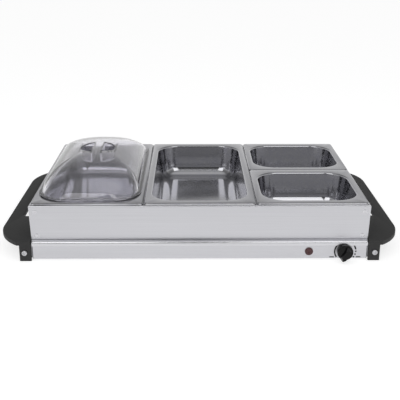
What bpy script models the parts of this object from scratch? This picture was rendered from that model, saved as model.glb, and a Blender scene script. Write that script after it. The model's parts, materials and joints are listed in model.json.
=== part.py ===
"""Four-pan buffet server: a warming base, a lift-off pan frame, four steel pans and a clear lid.

Metres, +Z up, front of the object towards -Y. Z is 0 on the table. The pans lie evenly round X = 0,
and one shared empty moves everything along Y so that the whole object is centred on the origin.
"""
import bmesh
import bpy
from math import asin, cos, pi, radians, sin, sqrt, tau
from mathutils import Matrix, Vector

# Clearance between touching pieces, and how far a cutter runs past what it cuts
GAP = 0.0003
OVERRUN = 0.002

# Pans: deep-drawn steel, measured over their rims
PAN_WIDTH = 0.1761
LARGE_PAN_LENGTH = 0.350
PAN_SPACING = 0.00085
PAN_DEPTH = 0.056
PAN_SHEET = 0.0007
PAN_TAPER = 0.006
PAN_FLOOR_FILLET = 0.018
OPENING_CORNER = 0.038
RIM_SIDE_WIDTH = 0.0115
RIM_END_WIDTH = 0.0155
RIM_HEIGHT = 0.0029
RIM_CORNER = 0.008
RIM_ROLL = 0.0022
RIM_HEM = 0.0014
LIP_RADIUS = 0.003
AIR_UNDER_PANS = 0.0033

# Lid: clear moulded dome over one large pan
LID_SIDE_MARGIN = 0.0056
LID_END_MARGIN = 0.0126
LID_FLANGE_WIDTH = 0.0042
LID_WALL = 0.0020
LID_RISE = 0.0436
LID_RIDGE_DEPTH = 0.0022
LID_RIDGE_WALL = 0.0014
LID_DOME_POWER = 2.4
DOME_RING_shares = (1.0, 0.985, 0.95, 0.89, 0.80, 0.68, 0.53, 0.36, 0.17)
GRIP_RADIUS = 0.0310
GRIP_BAR_WIDTH = 0.0180
GRIP_DEPTH = 0.0200
GRIP_DRAFT = 0.0040

# Frame: folded and spot-welded sheet that carries the pans
FRAME_STANDOUT = 0.0021
FRAME_TAPER = 0.0014
FRAME_SHEET = 0.0009
FRAME_TOP_FLANGE = 0.0100
FRAME_BOTTOM_FLANGE = 0.0060
FRAME_BEND = 0.0020
FRAME_TAB = 0.0140
DIVIDER_WIDTH = 0.0090
DIVIDER_DEPTH = 0.0140
DIVIDER_TONGUE = 0.0080
DIVIDER_TONGUE_GRIP = 0.0120

# Base: top plate over a sheet housing
PLATE_SIDE_MARGIN = 0.0003
PLATE_FRONT_MARGIN = 0.0083
PLATE_SHEET = 0.0010
PLATE_LIP = 0.0080
PLATE_SHOULDER = 0.0040
PLATE_SIDE_SHOULDER = 0.0012
PLATE_CORNER = 0.0030
PANEL_HEIGHT = 0.0218
FLOOR_CLEARANCE = 0.0037
HOUSING_SHEET = 0.0008
HOUSING_FLANGE = 0.0100
HOUSING_CORNER = 0.0020
COVER_SHEET = 0.0008
COVER_SCREW_HEAD_RADIUS = 0.0030
COVER_SCREW_HEAD_HEIGHT = 0.0014
COVER_SCREW_RADIUS = 0.0014
COVER_SCREW_REACH = 0.0020

# Heater between the top plate and the housing's floor
SPREADER_SHEET = 0.0015
SPREADER_SIDE_MARGIN = 0.0530
SPREADER_END_MARGIN = 0.0512
ELEMENT_RADIUS = 0.00325
ELEMENT_RUN_SPACING_share = 0.456
ELEMENT_RUNS = 4
ELEMENT_END_MARGIN = 0.0060
ELEMENT_PIN_RADIUS = 0.0016
ELEMENT_PIN_LENGTH = 0.0090
CLAMP_LENGTH = 0.0100
CLAMP_SHEET = 0.0010
CLAMP_FOOT = 0.0060
SHIELD_SHEET = 0.0006
SHIELD_RISE_share = 0.34
SHIELD_CORNER = 0.0060

# Controls on the front panel
CONTROL_RISE_share = 0.54
KNOB_SET_IN = 0.0357
KNOB_TO_LAMP = 0.0567
KNOB_RADIUS = 0.0125
KNOB_DISC_THICKNESS = 0.0065
KNOB_DISC_ROUND = 0.0018
KNOB_HEIGHT = 0.0175
KNOB_STANDOFF = 0.0022
KNOB_POINTER_REACH = 0.0138
KNOB_WING_WIDTH = 0.0078
KNOB_WALL = 0.0016
KNOB_HOLLOW_DEPTH = 0.0040
KNOB_BOSS_RADIUS = 0.0052
KNOB_BORE_DEPTH = 0.0130
KNOB_OFF_ANGLE = radians(30.0)
SHAFT_RADIUS = 0.0030
SHAFT_FLAT_DEPTH = 0.0010
SHAFT_SEAT_DEPTH = 0.0080
SHAFT_PANEL_CLEARANCE = 0.0010
THERMOSTAT_HALF_WIDTH = 0.0150
THERMOSTAT_DEPTH = 0.0200
THERMOSTAT_PLATE = 0.0012
THERMOSTAT_FILL_share = 0.90
THERMOSTAT_SCREW_SPREAD = 0.0078
THERMOSTAT_SCREW_RADIUS = 0.0014
THERMOSTAT_SCREW_HEAD = 0.0022
THERMOSTAT_SCREW_HEAD_HEIGHT = 0.0012
THERMOSTAT_SCREW_REACH = 0.0030
LENS_RADIUS = 0.0065
LENS_FLANGE = 0.0012
LENS_CROWN = 0.0012
LENS_STEM_RADIUS = 0.0048
LENS_STEM_LENGTH = 0.0130
LENS_BORE_RADIUS = 0.0032
LENS_LEAD_SPREAD = 0.0026
PUSH_NUT_RADIUS = 0.0080
PUSH_NUT_SHEET = 0.0008
NEON_RADIUS = 0.0026
NEON_LENGTH = 0.0110

# Electrics inside
TERMINAL_BLOCK_LENGTH = 0.0300
TERMINAL_BLOCK_WIDTH = 0.0140
TERMINAL_BLOCK_HEIGHT = 0.0120
TERMINAL_BLOCK_SET_IN = 0.0897
TERMINAL_BLOCK_WALL_GAP = 0.0120
TERMINAL_SCREW_RADIUS = 0.0020
TERMINAL_SCREW_HEIGHT = 0.0015
FUSE_RADIUS = 0.0022
FUSE_LENGTH = 0.0140
WIRE_RADIUS = 0.0012
LAMP_WIRE_RADIUS = 0.0008
WIRE_PITCH = 0.0042
WIRE_BEND = 0.0060
TERMINAL_POLES = 3
EARTH_SCREW_RADIUS = 0.0035
EARTH_SCREW_HEIGHT = 0.0025
EARTH_SCREW_SET_IN = 0.0170
GLAND_SET_IN = 0.0447
GLAND_OUTER_RADIUS = 0.0085
GLAND_STEM_RADIUS = 0.0062
GLAND_BORE_RADIUS = 0.0036
GLAND_FLANGE = 0.0030
GLAND_NOSE_LENGTH = 0.0100
GLAND_NOSE_RADIUS = 0.0055
GLAND_INNER_LENGTH = 0.0040

# Handles: one moulded bow with two legs at each end
HANDLE_REACH = 0.0565
HANDLE_THICKNESS = 0.0080
HANDLE_STEP = 0.0008
HANDLE_SWEEP = 0.0880
HANDLE_SWEEP_SET_share = 0.792
HANDLE_EDGE_ROUND = 0.0015
GRIP_GAP_WIDTH = 0.0315
GRIP_GAP_HALF_LENGTH = 0.0720
GRIP_GAP_CORNER = 0.0040
LEG_WIDTH = 0.0183
LEG_DEPTH = 0.0200
LEG_WALL = 0.0040
BRACKET_SHEET = 0.0012
BRACKET_LENGTH = 0.0140
BRACKET_CLEARANCE = 0.0010
HANDLE_SCREW_HEAD_RADIUS = 0.0042
HANDLE_SCREW_HEAD_HEIGHT = 0.0026
HANDLE_SCREW_RADIUS = 0.0020
HANDLE_SCREW_REACH = 0.0030
HANDLE_SCREW_PLACE_share = 0.56
HANDLE_SCREW_RISE_share = 0.55
RECESS_WIDTH = 0.0010
RECESS_SPAN = 0.0046
RECESS_DEPTH = 0.0014

# Facets of the rounded shapes
SMOOTH_ANGLE = radians(30.0)
CORNER_STEPS = 5
ARC_STEPS = 4
ROUND_STEPS = 20
SMALL_STEPS = 10
WIRE_STEPS = 3
SCREW_STEPS = 16
KNOB_STEPS = 32
SWEEP_STEPS = 8
CLAMP_STEPS = 8
ELEMENT_BEND_STEPS = 10

# Proportions of small details
HEAD_CROWN_share = 0.62
HEAD_SIDE_share = 0.45
ROUND_KNEE_share = 0.29
CROWN_KNEE_share = 0.66
CROWN_RISE_share = 0.72
POINTER_SHOULDER_share = 0.66
WING_TAIL_share = 0.86
WING_TAPER_share = 0.90
THERMOSTAT_BODY_share = 0.86
WIRE_TAP_share = 0.40
COVER_SCREW_PLACE_share = 0.70
CLAMP_PLACE_share = 0.45
MERGE_share = 0.01

# Heights, built up from the table
LIP_BOTTOM = FLOOR_CLEARANCE + PANEL_HEIGHT
BASE_TOP = LIP_BOTTOM + PLATE_LIP
RIM_TOP = BASE_TOP + AIR_UNDER_PANS + PAN_SHEET + PAN_DEPTH
FRAME_BOTTOM = BASE_TOP + GAP
FRAME_TOP = RIM_TOP - RIM_HEIGHT - GAP
PLATE_UNDERSIDE = BASE_TOP - PLATE_SHEET
COVER_TOP = FLOOR_CLEARANCE + HOUSING_SHEET + GAP + COVER_SHEET
CONTROL_HEIGHT = FLOOR_CLEARANCE + PANEL_HEIGHT * CONTROL_RISE_share
SPREADER_BOTTOM = PLATE_UNDERSIDE - GAP - SPREADER_SHEET
HANDLE_TOP = BASE_TOP + HANDLE_STEP

# Plan of the pans, frame and base
COLUMN_PITCH = PAN_WIDTH + PAN_SPACING
SMALL_PAN_LENGTH = (LARGE_PAN_LENGTH - PAN_SPACING) / 2
ROW_PITCH = SMALL_PAN_LENGTH + PAN_SPACING
FRAME_HALF_X = COLUMN_PITCH + PAN_WIDTH / 2 + FRAME_STANDOUT
FRAME_HALF_Y = LARGE_PAN_LENGTH / 2 + FRAME_STANDOUT
PLATE_HALF_X = FRAME_HALF_X - FRAME_TAPER + PLATE_SIDE_MARGIN
PLATE_HALF_Y = FRAME_HALF_Y - FRAME_TAPER + PLATE_FRONT_MARGIN
HOUSING_HALF_X = PLATE_HALF_X - PLATE_SHEET - GAP
HOUSING_HALF_Y = PLATE_HALF_Y - PLATE_SHEET - GAP
KNOB_X = HOUSING_HALF_X - KNOB_SET_IN
LAMP_X = KNOB_X - KNOB_TO_LAMP
GLAND_X = HOUSING_HALF_X - GLAND_SET_IN
TERMINAL_BLOCK_X = HOUSING_HALF_X - TERMINAL_BLOCK_SET_IN
SPREADER_HALF_X = HOUSING_HALF_X - SPREADER_SIDE_MARGIN
SPREADER_HALF_Y = HOUSING_HALF_Y - SPREADER_END_MARGIN
ELEMENT_RUN_SPACING = SPREADER_HALF_Y * ELEMENT_RUN_SPACING_share
HANDLE_INNER = PLATE_HALF_X + GAP
HANDLE_OUTER = HANDLE_INNER + HANDLE_REACH
HANDLE_SCREW_X = HANDLE_INNER + LEG_WIDTH * HANDLE_SCREW_PLACE_share
HANDLE_SCREW_Z = LIP_BOTTOM * HANDLE_SCREW_RISE_share

# The knob stands out further in front than the cord gland does behind
FRONT_REACH = HOUSING_HALF_Y + KNOB_STANDOFF + KNOB_HEIGHT
REAR_REACH = HOUSING_HALF_Y + GAP + GLAND_FLANGE + GLAND_NOSE_LENGTH
ORIGIN_SHIFT = (FRONT_REACH - REAR_REACH) / 2


def clear_scene():
    for thing in list(bpy.data.objects):
        bpy.data.objects.remove(thing, do_unlink=True)


def make_material(name, colour, roughness, metallic=0.0, alpha=1.0):
    """Principled material; the colour is linear."""
    material = bpy.data.materials.new(name)
    material.use_nodes = True
    shader = material.node_tree.nodes["Principled BSDF"]
    shader.inputs["Base Color"].default_value = (*colour, 1.0)
    shader.inputs["Roughness"].default_value = roughness
    shader.inputs["Metallic"].default_value = metallic
    shader.inputs["Alpha"].default_value = alpha
    return material


def make_empty(name, place, parent=None):
    empty = bpy.data.objects.new(name, None)
    empty.location = place
    empty.parent = parent
    bpy.context.collection.objects.link(empty)
    return empty


def make_object(name, mesh_work, material=None, parent=None, place=(0, 0, 0)):
    bmesh.ops.recalc_face_normals(mesh_work, faces=mesh_work.faces)
    mesh = bpy.data.meshes.new(name)
    mesh_work.to_mesh(mesh)
    mesh_work.free()
    mesh.shade_smooth()
    mesh.set_sharp_from_angle(angle=SMOOTH_ANGLE)
    thing = bpy.data.objects.new(name, mesh)
    thing.location = place
    thing.parent = parent
    if material:
        mesh.materials.append(material)
    bpy.context.collection.objects.link(thing)
    return thing


def rounded_rectangle(half_x, half_y, corner, steps=CORNER_STEPS):
    """Points of a rectangle with round corners, anticlockwise from +X."""
    radius = min(corner, half_x, half_y)
    points = []
    for quarter in range(4):
        start = quarter * pi / 2
        middle = start + pi / 4
        centre_x = (half_x - radius) * (1 if cos(middle) > 0 else -1)
        centre_y = (half_y - radius) * (1 if sin(middle) > 0 else -1)
        for step in range(steps + 1):
            angle = start + step * pi / 2 / steps
            points.append((centre_x + radius * cos(angle), centre_y + radius * sin(angle)))
    return points


def loft(rings, closed=False):
    """Skin a list of rings; the ends are capped, or joined to each other when closed."""
    work = bmesh.new()
    rows = [[work.verts.new(point) for point in ring] for ring in rings]
    pairs = list(zip(rows, rows[1:]))
    if closed:
        pairs.append((rows[-1], rows[0]))
    for first, second in pairs:
        count = len(first)
        for index in range(count):
            after = (index + 1) % count
            work.faces.new((first[index], first[after], second[after], second[index]))
    if not closed:
        work.faces.new(rows[0][::-1])
        work.faces.new(rows[-1])
    return work


def tray_rings(profile, steps=CORNER_STEPS):
    """Rings from rows of (half_x, half_y, corner, height)."""
    rings = []
    for half_x, half_y, corner, height in profile:
        outline = rounded_rectangle(half_x, half_y, corner, steps)
        rings.append([(x, y, height) for x, y in outline])
    return rings


def prism(outline, low, high, axis="Z"):
    """Extrude a flat outline between two heights along an axis."""
    order = {"X": lambda u, v, w: (w, u, v), "Y": lambda u, v, w: (u, w, v), "Z": lambda u, v, w: (u, v, w)}
    place = order[axis]
    return loft([[place(u, v, level) for u, v in outline] for level in (low, high)])


def block(low, high):
    (x0, y0, z0), (x1, y1, z1) = low, high
    return prism([(x0, y0), (x1, y0), (x1, y1), (x0, y1)], z0, z1)


def circle(radius, height, steps):
    """Ring of points about +Z."""
    angles = [tau * index / steps for index in range(steps)]
    return [(radius * cos(angle), radius * sin(angle), height) for angle in angles]


def stand(work, axis, centre):
    """Lay a mesh made about +Z along another axis and move its origin to a centre."""
    turns = {"X": Matrix.Rotation(pi / 2, 4, "Y"), "Y": Matrix.Rotation(-pi / 2, 4, "X")}
    work.transform(Matrix.Translation(centre) @ turns.get(axis, Matrix.Identity(4)))
    return work


def turned(profile, axis="Z", centre=(0, 0, 0), steps=ROUND_STEPS):
    """Turn rows of (radius, height) about an axis; a radius of zero closes on the axis."""
    work = bmesh.new()
    rows = []
    for radius, height in profile:
        if radius == 0:
            rows.append([work.verts.new((0, 0, height))])
            continue
        rows.append([work.verts.new(point) for point in circle(radius, height, steps)])
    for first, second in zip(rows, rows[1:]):
        for index in range(steps):
            after = (index + 1) % steps
            corners = [first[index % len(first)], first[after % len(first)]]
            corners += [second[after % len(second)], second[index % len(second)]]
            work.faces.new(list(dict.fromkeys(corners)))
    for row in (rows[0], rows[-1]):
        if len(row) > 1:
            work.faces.new(row)
    return stand(work, axis, centre)


def rod(radius, low, high, axis="Z", centre=(0, 0, 0), steps=ROUND_STEPS):
    return turned([(radius, low), (radius, high)], axis, centre, steps)


def hollow_turned(profile, axis="Z", centre=(0, 0, 0), steps=ROUND_STEPS):
    """Turn a closed loop of (radius, height) rows that never touches the axis."""
    rings = [circle(radius, height, steps) for radius, height in profile]
    return stand(loft(rings, closed=True), axis, centre)


def merged(works):
    """Put several separate solids into one mesh."""
    total = bmesh.new()
    for work in works:
        mesh = bpy.data.meshes.new("part")
        work.to_mesh(mesh)
        work.free()
        total.from_mesh(mesh)
        bpy.data.meshes.remove(mesh)
    return total


def combine(thing, tools, operation):
    """Apply an exact boolean with each tool mesh in turn, then drop the tool."""
    for work in tools:
        cutter = make_object(thing.name + "_cutter", work)
        cutter.parent = thing.parent
        cutter.location = thing.location
        cutter.hide_render = True
        cutter.display_type = "WIRE"
        change = thing.modifiers.new("shape", "BOOLEAN")
        change.operation = operation
        change.solver = "EXACT"
        change.object = cutter
        bpy.context.view_layer.update()
        seen = thing.evaluated_get(bpy.context.evaluated_depsgraph_get())
        mesh = bpy.data.meshes.new_from_object(seen)
        thing.modifiers.clear()
        thing.data = mesh
        bpy.data.objects.remove(cutter, do_unlink=True)
    thing.data.shade_smooth()
    thing.data.set_sharp_from_angle(angle=SMOOTH_ANGLE)
    thing.data.name = thing.name
    return thing


def cut(thing, *tools):
    return combine(thing, tools, "DIFFERENCE")


def fuse(thing, *tools):
    return combine(thing, tools, "UNION")


def keep_common(thing, *tools):
    return combine(thing, tools, "INTERSECT")


def mirrored(work, axis):
    """Reflect a mesh in the plane through the origin across one axis."""
    factors = (-1, 1, 1) if axis == "X" else (1, -1, 1)
    work.transform(Matrix.Diagonal((*factors, 1)))
    bmesh.ops.reverse_faces(work, faces=work.faces)
    return work


def bent_route(points, bend, steps=WIRE_STEPS):
    """Points along straight runs with rounded corners, each starting a bend's length before its corner."""
    knots = [Vector(point) for point in points]
    route = [knots[0]]
    for before, corner, after in zip(knots, knots[1:], knots[2:]):
        reach = min(bend, (before - corner).length / 2, (after - corner).length / 2)
        start = corner + (before - corner).normalized() * reach
        end = corner + (after - corner).normalized() * reach
        for step in range(steps + 1):
            share = step / steps
            route.append(start.lerp(corner, share).lerp(corner.lerp(end, share), share))
    route.append(knots[-1])
    return route


def tube(name, route, radius, material, parent, resolution=1):
    """Tube with closed ends along a route."""
    curve = bpy.data.curves.new(name, "CURVE")
    curve.dimensions = "3D"
    curve.bevel_depth = radius
    curve.bevel_resolution = resolution
    curve.use_fill_caps = True
    curve.materials.append(material)
    spline = curve.splines.new("POLY")
    spline.points.add(len(route) - 1)
    for knot, point in zip(spline.points, route):
        knot.co = (*point, 1)
    thing = bpy.data.objects.new(name, curve)
    thing.parent = parent
    bpy.context.collection.objects.link(thing)
    return thing


def as_mesh(thing):
    """Swap a curve object for a mesh object of the same name."""
    name, parent = thing.name, thing.parent
    work = bmesh.new()
    seen = thing.evaluated_get(bpy.context.evaluated_depsgraph_get())
    mesh = bpy.data.meshes.new_from_object(seen)
    work.from_mesh(mesh)
    bmesh.ops.remove_doubles(work, verts=work.verts, dist=GAP * MERGE_share)
    material = thing.data.materials[0]
    bpy.data.objects.remove(thing, do_unlink=True)
    return make_object(name, work, material, parent)


def pan_profile(half_x, half_y):
    """Section of a drawn pan from the inside floor out to the rolled rim and back underneath."""
    rows = []
    opening_x = half_x - RIM_SIDE_WIDTH
    opening_y = half_y - RIM_END_WIDTH
    corner = min(OPENING_CORNER, opening_x, opening_y)
    fillet = min(PAN_FLOOR_FILLET, PAN_DEPTH - LIP_RADIUS)

    def add(inset, height, radius):
        rows.append((opening_x - inset, opening_y - inset, max(radius, PAN_SHEET), height))

    # Inside: floor fillet, wall, lip
    for step in range(ARC_STEPS + 1):
        angle = step * pi / 2 / ARC_STEPS
        inset = PAN_TAPER + fillet * (1 - sin(angle))
        add(inset, fillet * (1 - cos(angle)) - PAN_DEPTH, corner - inset)
    for step in range(ARC_STEPS):
        angle = step * pi / 2 / (ARC_STEPS - 1)
        outset = LIP_RADIUS * (1 - cos(angle))
        add(-outset, LIP_RADIUS * (sin(angle) - 1), corner + outset)
    # Rolled edge round the outside of the rim
    for step in range(ARC_STEPS):
        angle = step * pi / 2 / (ARC_STEPS - 1)
        outset = RIM_ROLL * (sin(angle) - 1)
        rows.append((half_x + outset, half_y + outset, RIM_CORNER + outset, RIM_ROLL * (cos(angle) - 1)))
    rows.append((half_x, half_y, RIM_CORNER, -RIM_HEIGHT))
    rows.append((half_x - RIM_HEM, half_y - RIM_HEM, RIM_CORNER - RIM_HEM, -RIM_HEIGHT))
    # Underneath: flange, wall, floor fillet
    rows.append((half_x - RIM_HEM, half_y - RIM_HEM, RIM_CORNER - RIM_HEM, -PAN_SHEET - RIM_HEM / 2))
    rows.append((half_x - RIM_ROLL, half_y - RIM_ROLL, RIM_CORNER - RIM_ROLL, -PAN_SHEET))
    add(-LIP_RADIUS, -PAN_SHEET, corner + LIP_RADIUS)
    add(-PAN_SHEET, -LIP_RADIUS, corner + PAN_SHEET)
    for step in range(ARC_STEPS + 1):
        angle = (ARC_STEPS - step) * pi / 2 / ARC_STEPS
        inset = PAN_TAPER - PAN_SHEET + fillet * (1 - sin(angle))
        add(inset, fillet * (1 - cos(angle)) - PAN_DEPTH - PAN_SHEET, corner - inset)
    return rows


def build_pan(name, width, length, material, parent):
    work = loft(tray_rings(pan_profile(width / 2, length / 2)))
    return make_object(name, work, material, parent)


def dome_rows(half_x, half_y, corner, rise, start):
    """Rings of a crowned dome from its edge to its nearly flat top."""
    rows = []
    for share in DOME_RING_shares:
        height = start + (rise - start) * sqrt(max(0.0, 1 - share ** LID_DOME_POWER))
        rows.append((half_x * share, half_y * share, corner * share, height))
    return rows


def grip_pocket(side, radius, bar_half, draft, low, high):
    """One half-moon of the grip, narrower at the bottom; side is -1 or 1 along X."""
    rings = []
    for level, shrink in ((low, draft), (high, 0.0)):
        reach = radius - shrink
        turn = asin(bar_half / reach)
        count = 2 * CORNER_STEPS
        angles = [turn - pi / 2 + (pi - 2 * turn) * index / count for index in range(count + 1)]
        rings.append([(side * reach * cos(a), reach * sin(a), level) for a in angles])
    return loft(rings)


def build_lid(material, parent):
    half_x = PAN_WIDTH / 2 - LID_SIDE_MARGIN
    half_y = LARGE_PAN_LENGTH / 2 - LID_END_MARGIN
    corner = OPENING_CORNER + RIM_SIDE_WIDTH - LID_SIDE_MARGIN
    dome_x = half_x - LID_FLANGE_WIDTH
    dome_y = half_y - LID_FLANGE_WIDTH
    dome_corner = corner - LID_FLANGE_WIDTH
    ridge_x = min(PAN_WIDTH / 2 - RIM_SIDE_WIDTH - GAP, half_x - LID_RIDGE_WALL)
    ridge_y = min(LARGE_PAN_LENGTH / 2 - RIM_END_WIDTH - GAP, half_y - LID_RIDGE_WALL)
    ridge_corner = OPENING_CORNER
    inner_x = min(dome_x - LID_WALL, ridge_x - LID_RIDGE_WALL)
    inner_y = min(dome_y - LID_WALL, ridge_y - LID_RIDGE_WALL)
    inner_corner = ridge_corner - LID_RIDGE_WALL
    rows = dome_rows(dome_x, dome_y, dome_corner, LID_RISE, LID_WALL)[::-1]
    rows.append((half_x, half_y, corner, LID_WALL))
    rows.append((half_x, half_y, corner, 0.0))
    rows.append((ridge_x, ridge_y, ridge_corner, 0.0))
    rows.append((ridge_x, ridge_y, ridge_corner, -LID_RIDGE_DEPTH))
    rows.append((inner_x, inner_y, inner_corner, -LID_RIDGE_DEPTH))
    rows += dome_rows(inner_x, inner_y, inner_corner, LID_RISE - LID_WALL, 0.0)
    lid = make_object("pan_lid", loft(tray_rings(rows)), material, parent)

    floor = LID_RISE - GRIP_DEPTH
    bar = GRIP_BAR_WIDTH / 2
    solid_rows = dome_rows(dome_x, dome_y, dome_corner, LID_RISE - LID_WALL / 2, 0.0)
    for side in (-1, 1):
        outside = GRIP_RADIUS + LID_WALL
        shell = grip_pocket(side, outside, bar - LID_WALL, GRIP_DRAFT, floor - LID_WALL, LID_RISE)
        pocket = make_object("grip_pocket", shell, parent=parent)
        keep_common(pocket, loft(tray_rings(solid_rows)))
        work = bmesh.new()
        work.from_mesh(pocket.data)
        bpy.data.objects.remove(pocket, do_unlink=True)
        fuse(lid, work)
        cut(lid, grip_pocket(side, GRIP_RADIUS, bar, GRIP_DRAFT, floor, LID_RISE + OVERRUN))
    return lid


def frame_half(base, height):
    """Half size of the frame's outside at a height: it leans out towards the top."""
    return base - FRAME_TAPER * (FRAME_TOP - height) / (FRAME_TOP - FRAME_BOTTOM)


def wall_outline():
    """Section of a frame wall as rows of (inset, height); both flanges turn inwards."""
    points = [(FRAME_BOTTOM_FLANGE, FRAME_BOTTOM), (0.0, FRAME_BOTTOM)]
    for step in range(ARC_STEPS + 1):
        angle = step * pi / 2 / ARC_STEPS
        points.append((FRAME_BEND * (1 - cos(angle)), FRAME_TOP - FRAME_BEND * (1 - sin(angle))))
    points.append((FRAME_TOP_FLANGE, FRAME_TOP))
    points.append((FRAME_TOP_FLANGE, FRAME_TOP - FRAME_SHEET))
    inner = FRAME_BEND - FRAME_SHEET
    for step in range(ARC_STEPS + 1):
        angle = (ARC_STEPS - step) * pi / 2 / ARC_STEPS
        height = FRAME_TOP - FRAME_SHEET - inner * (1 - sin(angle))
        points.append((FRAME_SHEET + inner * (1 - cos(angle)), height))
    points.append((FRAME_SHEET, FRAME_BOTTOM + FRAME_SHEET))
    points.append((FRAME_BOTTOM_FLANGE, FRAME_BOTTOM + FRAME_SHEET))
    return points


def frame_panel(axis, side, end_gap):
    """One folded wall of the frame with mitred ends; axis is the way it faces, side is -1 or 1."""
    rings = []
    for end in (-1, 1):
        ring = []
        for inset, height in wall_outline():
            across = frame_half(FRAME_HALF_X, height) - inset
            along = frame_half(FRAME_HALF_Y, height) - inset
            if axis == "Y":
                ring.append((end * across, side * along, height))
            else:
                ring.append((side * across, end * (along - end_gap), height))
        rings.append(ring)
    return loft(rings)


def corner_tab(side, end):
    """Tab of an end wall that is spot-welded behind the front or rear wall; end is -1 or 1 along Y."""
    rings = []
    for height in (FRAME_BOTTOM + FRAME_SHEET + GAP, FRAME_TOP - FRAME_BEND - GAP):
        x = frame_half(FRAME_HALF_X, height)
        y = frame_half(FRAME_HALF_Y, height) - FRAME_SHEET - GAP * 2
        root = x - FRAME_SHEET / 2
        tip = x - FRAME_TAB
        plan = [(root, y - FRAME_SHEET), (root, y), (tip, y), (tip, y - FRAME_SHEET)]
        rings.append([(side * u, end * v, height) for u, v in plan])
    return loft(rings)


def build_frame_walls(material, parent):
    for name, side in (("frame_front_panel", -1), ("frame_rear_panel", 1)):
        make_object(name, frame_panel("Y", side, 0), material, parent)
    for name, side in (("frame_left_end", -1), ("frame_right_end", 1)):
        panel = make_object(name, frame_panel("X", side, GAP), material, parent)
        fuse(panel, corner_tab(side, -1), corner_tab(side, 1))


def channel_outline(top):
    """Section of a folded channel, open below, as rows of (across, height)."""
    half = DIVIDER_WIDTH / 2
    inner = half - FRAME_SHEET
    low = top - DIVIDER_DEPTH
    under = top - FRAME_SHEET
    return [(-half, low), (-half, top), (half, top), (half, low),
            (inner, low), (inner, under), (-inner, under), (-inner, low)]


def tongue_outline(edge, direction):
    """Stepped tongue that passes under the frame's flange, as rows of (along, height)."""
    under = FRAME_TOP - FRAME_SHEET - GAP
    low = under - FRAME_SHEET
    joggle = FRAME_TOP - FRAME_SHEET / 2
    rows = [(-DIVIDER_TONGUE_GRIP, low), (DIVIDER_TONGUE, low), (DIVIDER_TONGUE, under),
            (0.0, under), (0.0, joggle), (-DIVIDER_TONGUE_GRIP, joggle)]
    return [(edge + direction * along, height) for along, height in rows]


def build_dividers(material, parent):
    edge = FRAME_HALF_Y - FRAME_TOP_FLANGE - GAP
    half_tongue = DIVIDER_WIDTH / 2 - FRAME_SHEET - GAP
    for name, side in (("frame_divider_left", -1), ("frame_divider_right", 1)):
        middle = side * COLUMN_PITCH / 2
        outline = [(middle + across, height) for across, height in channel_outline(FRAME_TOP)]
        bar = make_object(name, prism(outline, -edge, edge, "Y"), material, parent)
        low, high = middle - half_tongue, middle + half_tongue
        fuse(bar, *[prism(tongue_outline(way * edge, way), low, high, "X") for way in (-1, 1)])
    start = COLUMN_PITCH / 2 + DIVIDER_WIDTH / 2 + GAP
    end = FRAME_HALF_X - FRAME_TOP_FLANGE - GAP
    work = prism(channel_outline(FRAME_TOP), start, end, "X")
    bar = make_object("frame_cross_divider", work, material, parent)
    fuse(bar, prism(tongue_outline(end, 1), -half_tongue, half_tongue, "Y"))


def build_top_plate(material, parent):
    rows = []
    for step in range(ARC_STEPS + 1):
        angle = step * pi / 2 / ARC_STEPS
        share = 1 - sin(angle)
        drop = PLATE_SHOULDER * (1 - cos(angle))
        rows.append((PLATE_HALF_X - PLATE_SIDE_SHOULDER * share, PLATE_HALF_Y - PLATE_SHOULDER * share,
                     PLATE_CORNER, BASE_TOP - drop))
    rows.append((PLATE_HALF_X, PLATE_HALF_Y, PLATE_CORNER, LIP_BOTTOM))
    under = [tuple(size - PLATE_SHEET for size in row) for row in rows]
    rows.append((*under[-1][:3], LIP_BOTTOM))
    rows += under[-2::-1]
    return make_object("base_top_plate", loft(tray_rings(rows, ARC_STEPS)), material, parent)


def corner_names():
    """Name, X side and Y side of the four corners."""
    depths = (("front", -1), ("rear", 1))
    widths = (("left", -1), ("right", 1))
    return [(depth + "_" + width, x, y) for depth, y in depths for width, x in widths]


def cover_screw_places():
    """Name, X and Y of each screw that holds the bottom cover to the housing's flange."""
    y = HOUSING_HALF_Y - HOUSING_SHEET - (HOUSING_FLANGE - HOUSING_SHEET) / 2
    x = HOUSING_HALF_X * COVER_SCREW_PLACE_share
    return [(name, side_x * x, side_y * y) for name, side_x, side_y in corner_names()]


def build_housing(material, parent):
    top = PLATE_UNDERSIDE - PLATE_SHOULDER - GAP
    low = FLOOR_CLEARANCE
    inner = HOUSING_SHEET
    profile = [(0.0, low), (0.0, top), (inner, top), (inner, low + inner), (HOUSING_FLANGE, low + inner),
               (HOUSING_FLANGE, low)]
    rows = [(HOUSING_HALF_X - d, HOUSING_HALF_Y - d, HOUSING_CORNER, z) for d, z in profile]
    housing = make_object("base_housing", loft(tray_rings(rows, ARC_STEPS), closed=True), material, parent)
    knob = (KNOB_X, -HOUSING_HALF_Y, CONTROL_HEIGHT)
    lamp = (LAMP_X, -HOUSING_HALF_Y, CONTROL_HEIGHT)
    gland = (GLAND_X, HOUSING_HALF_Y, CONTROL_HEIGHT)
    reach = HOUSING_SHEET + OVERRUN
    cutters = [rod(SHAFT_RADIUS + SHAFT_PANEL_CLEARANCE, -reach, reach, "Y", knob),
               rod(LENS_STEM_RADIUS + GAP, -reach, reach, "Y", lamp),
               rod(GLAND_STEM_RADIUS + GAP, -reach, reach, "Y", gland)]
    for side in (-1, 1):
        place = (KNOB_X + side * THERMOSTAT_SCREW_SPREAD, -HOUSING_HALF_Y, CONTROL_HEIGHT)
        cutters.append(rod(THERMOSTAT_SCREW_RADIUS + GAP, -reach, reach, "Y", place, SMALL_STEPS))
    return cut(housing, merged(cutters + cover_screw_holes(reach)))


def cover_screw_holes(reach):
    radius = COVER_SCREW_RADIUS + GAP
    places = [(x, y, FLOOR_CLEARANCE) for _, x, y in cover_screw_places()]
    return [rod(radius, -reach, reach, "Z", place, SMALL_STEPS) for place in places]


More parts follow.
